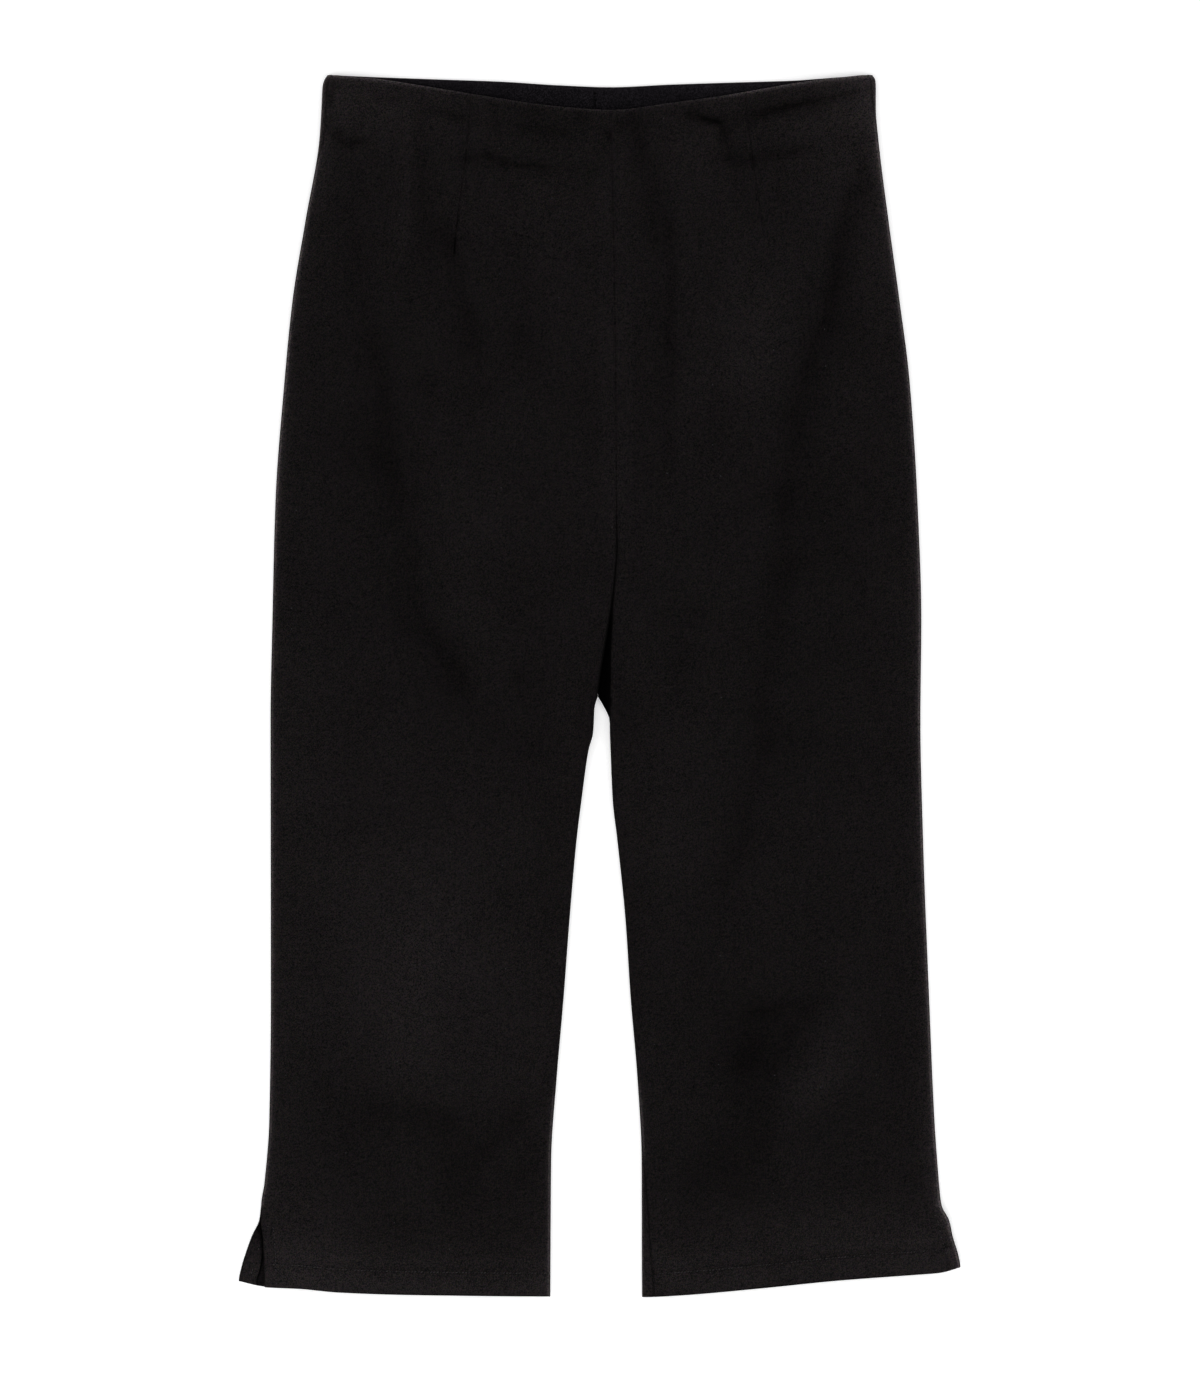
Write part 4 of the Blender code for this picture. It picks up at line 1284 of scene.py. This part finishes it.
def back_sections(leg, y):
    """Points of all the columns of a back, for a grid of heights, and the tone that its
    strips on the front side share with the front."""
    side_x, side_z, side_tone = back_wrap(leg, "side", y[:, :WRAPS])
    inner_x, inner_z, inner_tone = back_wrap(leg, "inner", y[:, :-WRAPS - 1:-1])
    middle = y[:, WRAPS:-WRAPS]
    first = underside_start(leg, "side", middle)
    last = underside_start(leg, "inner", middle)
    dart = first + (last - first) * dart_share(BACK_DART, middle)
    columns = (BACK_SIDE_TO_DART, BACK_INNER_TO_DART)
    between = between_rolls(first, dart, last, *columns, -outward(leg))
    x = np.concatenate([side_x, *between, inner_x[:, ::-1]], axis=1)
    z = np.concatenate([side_z, 0 * middle, inner_z[:, ::-1]], axis=1)
    tone = np.concatenate([side_tone, 0 * middle, inner_tone[:, ::-1]], axis=1)
    return x, z, tone


def underside_relief(leg, x, y):
    """How far the hidden side is pressed up, and its tone."""
    depth, tone = creased(BACK_CREASES[leg], x, y)
    depth = depth + BACK_UNEVEN * (undulation(x, y) + BACK_LIFT)
    from_side, from_inner = from_edges(leg, "back", x, y)
    clear = smooth((from_side - ROLL_RADIUS) / CLEAR_OF_EDGES)
    clear = clear * smooth((from_inner - ROLL_RADIUS) / CLEAR_OF_EDGES)
    clear = clear * smooth((WAIST_TOP - FACING_DEPTH - CLEAR_OF_FACING - y) / CLEAR_BLEND)
    channel = stitch_channel(above_hem("back", x, y))
    channel = channel * smooth(from_side / CHANNEL_FADE) * smooth(from_inner / CHANNEL_FADE)
    return np.minimum(clear * depth + channel, MOST_RELIEF), tone


def flap_tone(y, beyond):
    """Share of the tone that is left inside the right back's flap, `beyond` the front's edge.
    It is painted shade: a dark gap runs down from the top of the slit, and the ply turned in
    beside it is in the front's shade."""
    down = np.clip((SLIT_TOP["right"] - y) / FLAP_LENGTH, 0.0, 1.0)
    gap = GAP_START + GAP_SPREAD * down ** 4
    dark = bell(beyond - gap, GAP_HALF_WIDTH - GAP_NARROWS * down)
    ply = PLY_SHADE * (1 - smooth((beyond - gap) / PLY_BLEND))
    shade = decaying(SHADE_AT_TOP, np.maximum(beyond, 0.0))
    shade = shade * (1 - smooth((down - SHADE_FROM) / SHADE_FADES))
    below_slit = smooth((SLIT_TOP["right"] - y) / FLAP_BLEND)
    on_flap = below_slit * smooth((beyond + UNDER_FRONT) / FLAP_BLEND)
    return 1 - on_flap * np.clip(dark + ply + shade, 0.0, DARKEST_SHADE)


def back_tone(leg, x, y, crease_tone):
    from_side, from_inner = (along_roll(distance) for distance in from_edges(leg, "back", x, y))
    flat = 1 - side_drop(leg, y) / ROLL_RADIUS
    # Painted crease shading, and painted light that fades up from the hem.
    tone = 1 + crease_tone + fading(HEM_LIGHT[leg], above_hem("back", x, y))
    # Painted highlight along the back's waist edge.
    tone = tone + BACK_WAIST_HIGHLIGHT * lit_waist_edge(x, below_waist("back", x, y))
    # Painted highlights along the back's edges, left out where the slit lets it lie flat.
    tone = tone + edges_tone(leg, y, from_side + FAR * flat, from_inner)
    tone = np.clip(tone, DARKEST_IN_FOLD, LIGHTEST)
    # Painted shade inside the right back's flap.
    beyond = outward(leg) * (x - side_edge(leg, "front", y))
    return tone * flap_tone(y, beyond) if leg == "right" else tone


def back_cloth(leg):
    level = np.repeat(back_rows[:, None], back_columns, axis=1)
    y = bent_rows(level, back_sections(leg, level)[0], "back")
    x, z, front_side_tone = back_sections(leg, y)
    relief, crease_tone = underside_relief(leg, x, y)
    middle = np.zeros(x.shape)
    middle[:, WRAPS:-WRAPS] = 1.0
    dart_column = WRAPS + len(BACK_SIDE_TO_DART) + len(DART_STEPS) // 2
    past = np.abs(x - x[:, dart_column:dart_column + 1])
    length = on_dart(BACK_DART, y)
    groove = BACK_DART_GROOVE * length * np.maximum(1 - past / DART_HALF_WIDTH, 0.0)
    points = towards_right(leg, np.stack([x, y, z + middle * (relief + groove)], 2))
    tone = back_tone(leg, x, y, crease_tone * middle + front_side_tone)
    tone = tone * (1 + length * line(DART_LINE, past) + seam_tone(x, y, z, SEAM_LINE))
    return Cloth(points, towards_right(leg, tone), wall_of(points, 1.0))


backs = {leg: back_cloth(leg) for leg in LEGS}
print(f"{len(back_rows)} rows and {back_columns} columns on a back")

# %% [markdown]
# ## Facing of the back waist
#
# A facing is a strip of thinner, smoother cloth sewn along the waist edge and turned to the
# inside. It ends at the seams, a little below the edge, and only its top shows here, between
# the high back and the lower front. It is a plain grid with the curve of the waist.

# %% Grid of a facing
FACING_BELOW = 0.6
FACING_FROM_SIDE = 6.0
FACING_ROWS = 48
FACING_COLUMNS = 90
FACING_RELIEF = 0.7
FACING_TOP = 2.3
# Painted highlight along the facing's top, and painted light towards its left side.
FACING_TOP_HIGHLIGHT = ToneMark(0.7, 1.8)
FACING_SIDE_LIGHT = 0.35
SIDE_FROM = 10.0
SIDE_GROWS = 100.0
DARKEST_HOLE = 0.05
CLOSER_AT_CENTRE = 0.5
CENTRE_BACK_LINE = ToneMark(-0.2, 0.4)
NEEDLE_HOLES = (371.9, 375.0, 379.2)
NEEDLE_HOLE = ToneMark(-0.85, 0.75)


def facing_tone(x, y, below):
    """A facing has a painted highlight along its top and painted light towards the left side,
    and its centre seam is a thin dark line with a few needle holes."""
    tone_mark = decaying(FACING_TOP_HIGHLIGHT, below) + FACING_SIDE_LIGHT * smooth((x - SIDE_FROM) / SIDE_GROWS)
    past_seam = x - curve(CENTRE_SEAMS, "back", y)
    holes = sum(line(NEEDLE_HOLE, np.hypot(past_seam, y - height)) for height in NEEDLE_HOLES)
    return (1 + tone_mark) * np.maximum(1 + line(CENTRE_BACK_LINE, past_seam) + holes, DARKEST_HOLE)


def facing_cloth(leg):
    middle = WAIST_TOP - FACING_DEPTH / 2
    side = side_edge(leg, "back", middle) - outward(leg) * FACING_FROM_SIDE
    centre = float(curve(CENTRE_SEAMS, "back", middle))
    shares = np.linspace(0.0, 1.0, FACING_COLUMNS)
    shares = shares * (1 + CLOSER_AT_CENTRE - CLOSER_AT_CENTRE * shares ** 2)
    x = side + (centre - side) * shares
    top = curve(WAIST_EDGES, "back", x) - FACING_BELOW
    y = top - FACING_DEPTH * np.linspace(1.0, 0.0, FACING_ROWS)[:, None]
    x = np.broadcast_to(x, y.shape)
    z = FACING_TOP + FACING_RELIEF * (UNDULATION + undulation(2 * x, 2 * y))
    points = towards_right(leg, np.stack([x, y, z], 2))
    tone = facing_tone(x, y, top + FACING_BELOW - y)
    return Cloth(points, towards_right(leg, tone), wall_of(points, 0.0))


facings = {leg: facing_cloth(leg) for leg in LEGS}
highest = float(facings["left"].points[..., 2].max())
print("facing's height above the surface:", round(highest, 2), "mm")

# %% [markdown]
# ## From a grid to a panel
#
# Blender's grid primitive has the right faces already, so it is added with the panel's
# number of rows and columns, and its points are laid onto the sections. Solidify then gives
# the cloth its wall, thicker at the hem by a vertex group, and Bevel rounds the cut edges.
# The map `cloth` holds the place on the flat cloth in metres, so threads follow the leg.

# %% Making a panel
RIM_ROUND = 0.14
RIM_ANGLE = radians(60)
SHADE_ANGLE = radians(50)
MAP_OFFSET = 0.5


def flat_places(points):
    """Place of every point on the flat cloth: across from the middle column, and height."""
    across = along_cloth(points[..., 0], points[..., 2])
    middle = points.shape[1] // 2
    u = across - across[:, middle:middle + 1] + points[:, middle:middle + 1, 0]
    return np.stack([u, points[..., 1]], 2) * MM + MAP_OFFSET


def apply_modifier(piece, kind, **settings):
    bpy.ops.object.modifier_add(type=kind)
    modifier = piece.modifiers[-1]
    for name, setting in settings.items():
        setattr(modifier, name, setting)
    bpy.ops.object.modifier_apply(modifier=modifier.name)


def make_panel(name, cloth, faces_down):
    rows, columns = cloth.tone.shape
    deselect()
    bpy.ops.mesh.primitive_grid_add(x_subdivisions=columns - 1, y_subdivisions=rows - 1, size=1)
    panel = bpy.context.object
    panel.name = name
    mesh = panel.data
    mesh.name = name
    mesh.vertices.foreach_set("co", (cloth.points * MM).ravel())
    mesh.uv_layers[0].name = "cloth"
    corners = np.zeros(len(mesh.loops), dtype=np.int32)
    mesh.loops.foreach_get("vertex_index", corners)
    places = flat_places(cloth.points).reshape(-1, 2)[corners]
    mesh.uv_layers["cloth"].data.foreach_set("uv", places.ravel())
    tone = mesh.attributes.new("tone", "FLOAT", "POINT")
    tone.data.foreach_set("value", cloth.tone.ravel())
    if faces_down:
        mesh.flip_normals()
    mesh.update()
    shares = np.round(cloth.wall.ravel() / HEM_WALL, 3)
    group = panel.vertex_groups.new(name="wall")
    for share in np.unique(shares):
        group.add(np.flatnonzero(shares == share).tolist(), float(share), "REPLACE")
    apply_modifier(panel, "SOLIDIFY", thickness=HEM_WALL * MM, offset=-1.0, vertex_group="wall",
                   use_quality_normals=True)
    apply_modifier(panel, "BEVEL", limit_method="ANGLE", angle_limit=RIM_ANGLE, width=RIM_ROUND * MM,
                   segments=2, use_clamp_overlap=False)
    bpy.ops.object.shade_smooth_by_angle(angle=SHADE_ANGLE)
    print(f"{name}: {len(mesh.polygons)} faces, {[round(1000 * x) for x in panel.dimensions]} mm")
    return panel


# %% Panels of both legs
CLOTHS = {"front": fronts, "back": backs, "back_waist_facing": facings}
panels = {}
for leg in LEGS:
    for kind, cloths in CLOTHS.items():
        node = f"{kind}_{leg}"
        panels[node] = make_panel(f"{node}_panel", cloths[leg], faces_down=kind == "back")

# %% [markdown]
# ## Stitches
#
# One row of lockstitch holds each hem and each edge of a slit. A stitch shows as a short
# bead of thread, which lies a little askew and sinks into the cloth. It is modelled once, as
# a small sphere that is drawn out, and arrays then lay a copy at every place of a row, all in
# one mesh for each panel.

# %% One stitch
STITCH_LENGTH = 1.5
STITCH_PITCH = 2.0
THREAD = 0.42
STITCH_SUNK = 0.3
STITCH_TONES = (0.05, 2.0)
STITCH_TURN = radians(18)
TURN_VARIES = 0.4
TURN_STEP = 2.4
STITCH_REACH = 0.4

deselect()
along_x = (0, radians(90), 0)
bpy.ops.mesh.primitive_uv_sphere_add(segments=6, ring_count=5, radius=0.5, rotation=along_x)
bpy.ops.object.transform_apply(rotation=True)
stitch = bpy.context.object
stitch_shape = np.array([tuple(vertex.co) for vertex in stitch.data.vertices])
corners = sorted(list(face.vertices) for face in stitch.data.polygons)
stitch_faces = np.array([face + [-1] * (4 - len(face)) for face in corners])
bpy.data.objects.remove(stitch)
print(f"a stitch of {len(stitch_faces)} faces, {STITCH_LENGTH} mm long")


# %% Rows of stitches
def spaced(path, pitch):
    """Places at an even pitch along a path, and the path's direction there."""
    along = np.concatenate([[0.0], np.cumsum(np.linalg.norm(np.diff(path, axis=0), axis=1))])
    count = max(int(along[-1] / pitch), 1)
    at = (np.arange(count) + 0.5) * along[-1] / count
    places, ahead, behind = (np.stack([np.interp(at + step, along, path[:, i]) for i in range(3)], 1)
                             for step in (0.0, STITCH_REACH, -STITCH_REACH))
    direction = ahead - behind
    return places, direction / np.linalg.norm(direction, axis=1)[:, None]


def stitched(name, paths, up):
    """One mesh with all the stitches along several paths. `up` is 1 on a front and -1 on
    an underside."""
    rows = [spaced(path, STITCH_PITCH) for path in paths]
    places = np.concatenate([row[0] for row in rows])
    direction = np.concatenate([row[1] for row in rows])
    side = np.cross([0.0, 0.0, up], direction)
    normal = np.cross(direction, side)
    uneven_turn = 1 + TURN_VARIES * np.sin(TURN_STEP * np.arange(len(places)))
    turn = (STITCH_TURN * uneven_turn)[:, None]
    ahead = np.cos(turn) * direction + np.sin(turn) * side
    across = np.cos(turn) * side - np.sin(turn) * direction
    local = stitch_shape * (STITCH_LENGTH, THREAD, THREAD)
    points = places[:, None] + sum(local[:, i, None] * axis[:, None]
                                   for i, axis in enumerate((ahead, across, normal)))
    points = points + normal[:, None] * THREAD * (0.5 - STITCH_SUNK)
    starts = np.arange(len(places))[:, None, None] * len(local)
    faces = np.where(stitch_faces >= 0, stitch_faces + starts, -1).reshape(-1, 4)
    faces = [[i for i in face if i >= 0] for face in faces.tolist()]
    mesh = bpy.data.meshes.new(name)
    mesh.from_pydata(points.reshape(-1, 3) * MM, [], faces)
    mesh.shade_smooth()
    tones = np.random.default_rng(len(places)).uniform(*STITCH_TONES, len(places))
    tone = mesh.attributes.new("tone", "FLOAT", "POINT")
    tone.data.foreach_set("value", np.repeat(tones, len(local)))
    row = bpy.data.objects.new(name, mesh)
    bpy.context.collection.objects.link(row)
    print(f"{name}: {len(places)} stitches")
    return row


# %% Where the rows run
STITCHES_FROM_SIDE = 3.0
STITCHES_FROM_INSEAM = 2.5
SLIT_BAR_BELOW = 4.0
BAR_FROM_EDGE = 1.5
FLAP_ROW_BELOW = 16.0
ABOVE_HEM_END = 2.0
ROW_POINTS = 120


def on_front(leg, x, y):
    return np.stack([x, y, top_height(leg, x, y, *from_edges(leg, "front", x, y))[0]], 1)


def under_back(leg, x, y):
    return np.stack([x, y, underside_relief(leg, x, y)[0]], 1)


def hem_line(leg, panel):
    low = HEM_LOW + HEM_DEPTH
    side = side_edge(leg, panel, low) - outward(leg) * STITCHES_FROM_SIDE
    from_inner = inseam_shift(leg, low) + STITCHES_FROM_INSEAM
    x = np.linspace(side, inner_edge(leg, panel, low) + outward(leg) * from_inner, ROW_POINTS)
    return x, curve(HEM_EDGES, panel, x) + HEM_DEPTH


def slit_line(leg, panel, top):
    y = np.linspace(top, HEM_LOW, ROW_POINTS)
    x = side_edge(leg, panel, y) - outward(leg) * SLIT_STITCHED
    above = y > curve(HEM_EDGES, panel, x) + ABOVE_HEM_END
    return x[above], y[above]


def slit_bar(leg):
    y = np.full(ROW_POINTS, SLIT_TOP[leg] - SLIT_BAR_BELOW)
    start = side_edge(leg, "front", y) - outward(leg) * BAR_FROM_EDGE
    return start - outward(leg) * np.linspace(0.0, SLIT_STITCHED - BAR_FROM_EDGE, ROW_POINTS), y


def inside_flap(leg):
    """The same row as under the right back's flap, where it shows on the flap's inside."""
    x, y = slit_line(leg, "back", SLIT_TOP[leg] - FLAP_ROW_BELOW)
    wall = CLOTH + (HEM_WALL - CLOTH) * turned_up(above_hem("back", x, y))
    return under_back(leg, x, y) + np.stack([0 * x, 0 * x, wall], 1)


stitch_rows = []
for leg in LEGS:
    slit = slit_line(leg, "front", SLIT_TOP[leg] - SLIT_BAR_BELOW)
    lines = (hem_line(leg, "front"), slit, slit_bar(leg))
    paths = [on_front(leg, *where) for where in lines]
    stitch_rows.append(stitched(f"stitches_front_{leg}", paths, 1))
    lines = (hem_line(leg, "back"), slit_line(leg, "back", SLIT_TOP[leg]))
    paths = [under_back(leg, *where) for where in lines]
    stitch_rows.append(stitched(f"stitches_back_{leg}", paths, -1))
stitch_rows.append(stitched("stitches_flap", [inside_flap("right")], 1))

# %% [markdown]
# ## Writing shader maths
#
# A material is a graph of nodes, and a sum of a few patterns takes many of them. A small
# class wraps a socket, so that `0.8 + 0.2 * grain` adds its Math nodes by itself. Every
# other node comes from one method, which sets the node's settings first and then its values.

# %% A socket that does maths
class Wire:
    """An output of a node. Sums and products with it add Math nodes to its material."""

    def __init__(self, tree, socket=None):
        self.tree = tree
        self.socket = socket

    def fill(self, node, values):
        """Give a node's inputs their values or links."""
        for name, value in dict(values).items():
            if isinstance(value, Wire):
                self.tree.links.new(value.socket, node.inputs[name])
            else:
                node.inputs[name].default_value = value

    def node(self, kind, settings=(), values=(), output=0):
        """A new node of any kind, with its settings and its inputs."""
        added = self.tree.nodes.new(f"ShaderNode{kind}")
        for name, setting in dict(settings).items():
            setattr(added, name, setting)
        self.fill(added, values)
        return Wire(self.tree, added.outputs[output])

    def maths(self, operation, *values):
        return self.node("Math", {"operation": operation}, enumerate(values))

    def vector(self, operation, *values):
        return self.node("VectorMath", {"operation": operation}, enumerate(values))

    def shaded(self, colour, tone):
        """A colour, made lighter or darker."""
        return self.node("VectorMath", {"operation": "SCALE"}, {0: colour, "Scale": tone})

    def mixed(self, share, start, end):
        return self.node("Mix", {"data_type": "RGBA"}, {0: share, 6: start, 7: end}, 2)

    def bump(self, height, strength, distance):
        values = {"Height": height, "Strength": strength, "Distance": distance}
        return self.node("Bump", values=values)

    def __add__(self, other):
        return self.maths("ADD", self, other)

    def __sub__(self, other):
        return self.maths("SUBTRACT", self, other)

    def __rsub__(self, other):
        return self.maths("SUBTRACT", other, self)

    def __mul__(self, other):
        return self.maths("MULTIPLY", self, other)

    __radd__ = __add__
    __rmul__ = __mul__

    def between(self, low, high):
        """From 0 at low to 1 at high, with soft ends."""
        settings = {"interpolation_type": "SMOOTHSTEP"}
        return self.node("MapRange", settings, {"Value": self, "From Min": low, "From Max": high})


def new_material(name):
    """A material and a first wire to draw the others from."""
    material = bpy.data.materials.new(name)
    material.use_nodes = True
    return material, Wire(material.node_tree)


def finish(material, wire, values):
    """Give the material's shader its values and links."""
    wire.fill(material.node_tree.nodes["Principled BSDF"], values)
    print(len(material.node_tree.nodes), "nodes in", material.name)
    return material


def cloth_wires(name):
    """A cloth's material, with its place on the flat cloth and its tone."""
    material, wire = new_material(name)
    place = wire.node("UVMap", {"uv_map": "cloth"})
    return material, wire, place, wire.node("Attribute", {"attribute_name": "tone"}, output="Fac")


print("a wire adds, subtracts and multiplies")

# %% [markdown]
# ## Stretch cloth
#
# The cloth is a plain weave of black cotton with some stretch. Seen close, its crosswise
# yarns are uneven: short slubs make it faintly streaky across the leg. The threads are far
# too fine to model, so they are bump, on the map that lies on the flat cloth. The colour is
# almost black, times the panel's tone, which is mostly painted light and shade, and its
# streaks. Every crossing of two yarns takes the dye a little differently, and there is a
# speck of lint here and there. A weak sheen brightens the cloth where it turns away, as fine
# loose fibres do.

# %% Cloth material
CLOTH_BLACK = (0.00575, 0.00512, 0.0053)
DYE_SPREAD = 0.38
CLOTH_ROUGHNESS = 0.85
CLOTH_SPECULAR = 0.01
CLOTH_SHEEN = 0.008
YARN_PITCH = 0.00048
SLUB_LENGTH = 0.011
GRAIN_SIZE = 0.0009
LINT_CELL = 0.034
LINT_SIZE = 0.00033
LINT_COLOUR = (0.05, 0.05, 0.055, 1.0)
BUMP_DEPTH = 0.0002
FULL_TURN = 2 * np.pi


def stretched(wire, place, width, length, seed):
    """Noise whose grains have the given width and length on the cloth, around 0.5."""
    scaled = wire.vector("MULTIPLY", place, (1 / width, 1 / length, 1.0))
    moved = wire.vector("ADD", scaled, (seed, 2.3 * seed, 0.0))
    values = {"Vector": moved, "Scale": 1.0, "Detail": 2.0}
    return wire.node("TexNoise", {"noise_dimensions": "2D"}, values)


def lint(wire, place):
    """Mask of a few bright specks: about half the cells carry one, of uneven strength."""
    values = {"Vector": place, "Scale": 1 / LINT_CELL}
    distance, colour = (wire.node("TexVoronoi", {"voronoi_dimensions": "2D"}, values, output)
                        for output in ("Distance", "Color"))
    strength = wire.node("SeparateColor", values={"Color": colour}).between(0.5, 1.1)
    size = LINT_SIZE / LINT_CELL
    return strength * (1 - distance.between(0.6 * size, size))


def each_yarn(wire, place, output="Value"):
    """A random number, or colour, for each place where two yarns cross, around 0.5."""
    snapped = wire.vector("SNAP", place, (YARN_PITCH, YARN_PITCH, 1.0))
    return wire.node("TexWhiteNoise", {"noise_dimensions": "2D"}, {"Vector": snapped}, output)


def weave(wire, place):
    """Height of a plain weave: warp and weft yarns that pass over each other."""
    warp, weft = (wire.maths("SINE", wire.node("SeparateXYZ", values={"Vector": place}, output=axis)
                             * (FULL_TURN / YARN_PITCH)) for axis in "XY")
    return 0.5 + 0.25 * (warp + weft)


def cloth_material():
    material, wire, place, tone = cloth_wires("stretch_cloth")
    slubs = stretched(wire, place, SLUB_LENGTH, 0.0011, 3.1)
    fine_slubs = stretched(wire, place, 0.0036, 0.0006, 7.7)
    warp_streaks = stretched(wire, place, 0.0009, 0.02, 1.9)
    grain = stretched(wire, place, GRAIN_SIZE, GRAIN_SIZE, 5.3)
    blotches = stretched(wire, place, 0.045, 0.055, 11.0)
    yarns = each_yarn(wire, place)
    streaky = 0.35 * slubs + 0.3 * fine_slubs + 0.3 * warp_streaks - 0.475
    # The tone attribute brings in the panel's painted light and shade.
    shade = tone * (0.99 + streaky + 1.45 * (yarns - 0.5) + 0.35 * (blotches - 0.5))
    undyed = (1 - DYE_SPREAD / 2,) * 3
    dyed = wire.vector("MULTIPLY_ADD", each_yarn(wire, place, "Color"), (DYE_SPREAD,) * 3, undyed)
    colour = wire.vector("MULTIPLY", dyed, CLOTH_BLACK)
    black = wire.shaded(colour, wire.maths("MAXIMUM", shade, 0.0))
    height = 0.5 * weave(wire, place) + 0.3 * fine_slubs + 0.4 * slubs
    return finish(material, wire, {
        "Base Color": wire.mixed(lint(wire, place), black, LINT_COLOUR),
        "Normal": wire.bump(height, 0.25, BUMP_DEPTH),
        "Roughness": CLOTH_ROUGHNESS + 0.12 * (grain - 0.5),
        "Specular IOR Level": CLOTH_SPECULAR,
        "Sheen Weight": CLOTH_SHEEN,
        "Sheen Roughness": 0.5,
    })


cloth_finish = cloth_material()

# %% [markdown]
# ## Facing cloth
#
# The facing is a smoother, denser lining cloth. It is a colder black than the outside, and
# under a lamp it looks finely speckled, because its short fibres catch the light singly; these
# glints are painted into its colour as light flecks.

# %% Facing material
FACING_BLACK = (0.0031, 0.00275, 0.0034)
FACING_GLINT = (0.0143, 0.0125, 0.0148)


def facing_material():
    material, wire, place, tone = cloth_wires("facing_cloth")
    speckle = stretched(wire, place, 0.0007, 0.0006, 2.2)
    cloudy = stretched(wire, place, 0.02, 0.012, 8.8)
    # Painted glints of single fibres.
    glints = each_yarn(wire, place).between(0.35, 1.0)
    amount = glints * (0.6 + 0.8 * cloudy) * (0.3 + speckle)
    speckled = wire.mixed(amount, (*FACING_BLACK, 1.0), (*FACING_GLINT, 1.0))
    return finish(material, wire, {
        "Base Color": wire.shaded(speckled, tone),
        "Normal": wire.bump(0.5 * weave(wire, place) + 0.6 * speckle, 0.4, BUMP_DEPTH),
        "Roughness": 0.9,
        "Specular IOR Level": 0.01,
        "Sheen Weight": 0.004,
    })


facing_finish = facing_material()

# %% [markdown]
# ## Thread
#
# The thread is black polyester. It is smoother than the cloth, so it catches a little light
# on the top of every bead. No two stitches lie alike, so each has a tone of its own.

# %% Thread material
BLACK_THREAD = (0.015, 0.0135, 0.014)
FIBRE_SIZE = 0.0012


def thread_material():
    material, wire = new_material("black_thread")
    place = wire.node("TexCoord", output="Object")
    tone = wire.node("Attribute", {"attribute_name": "tone"}, output="Fac")
    values = {"Vector": place, "Scale": 1 / FIBRE_SIZE, "Detail": 1.0}
    fibres = wire.node("TexNoise", values=values)
    return finish(material, wire, {
        "Base Color": wire.shaded(BLACK_THREAD, tone * (0.3 + 1.4 * fibres)),
        "Normal": wire.bump(fibres, 0.3, BUMP_DEPTH / 2),
        "Roughness": 0.6,
        "Specular IOR Level": 0.08,
    })


thread_finish = thread_material()

# %% [markdown]
# ## White board
#
# The board under the garment is matt and nearly white. It glows a little by itself, as a
# board lit from below does, so that it stays white right up to the cloth.

# %% Board material
BOARD_WHITE = (0.9, 0.9, 0.9, 1.0)
BOARD_GLOW = 0.3
board_finish = finish(*new_material("white_board"), {
    "Base Color": BOARD_WHITE,
    "Roughness": 0.9,
    "Specular IOR Level": 0.0,
    "Emission Color": BOARD_WHITE,
    "Emission Strength": BOARD_GLOW,
})
floor.data.materials.append(board_finish)
print("board glows with", BOARD_GLOW)

# %% [markdown]
# ## Fastening the panels to the frame
#
# Each panel stands for the stiff solid of the same name, which is hidden. The cloth has no
# joints, so every piece rides on the one body.

# %% Finish and body of every panel
Cut = namedtuple("Cut", "width length area")
for node, panel in panels.items():
    kind, leg = node.rsplit("_", 1)
    is_facing = kind == "back_waist_facing"
    panel.data.materials.append(facing_finish if is_facing else cloth_finish)
    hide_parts(node)
    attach(panel, "root")

# %% Finish and body of the stitches
for row in stitch_rows:
    row.data.materials.append(thread_finish)
    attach(row, "root")
print(len(stitch_rows), "pieces of stitching ride on the root")
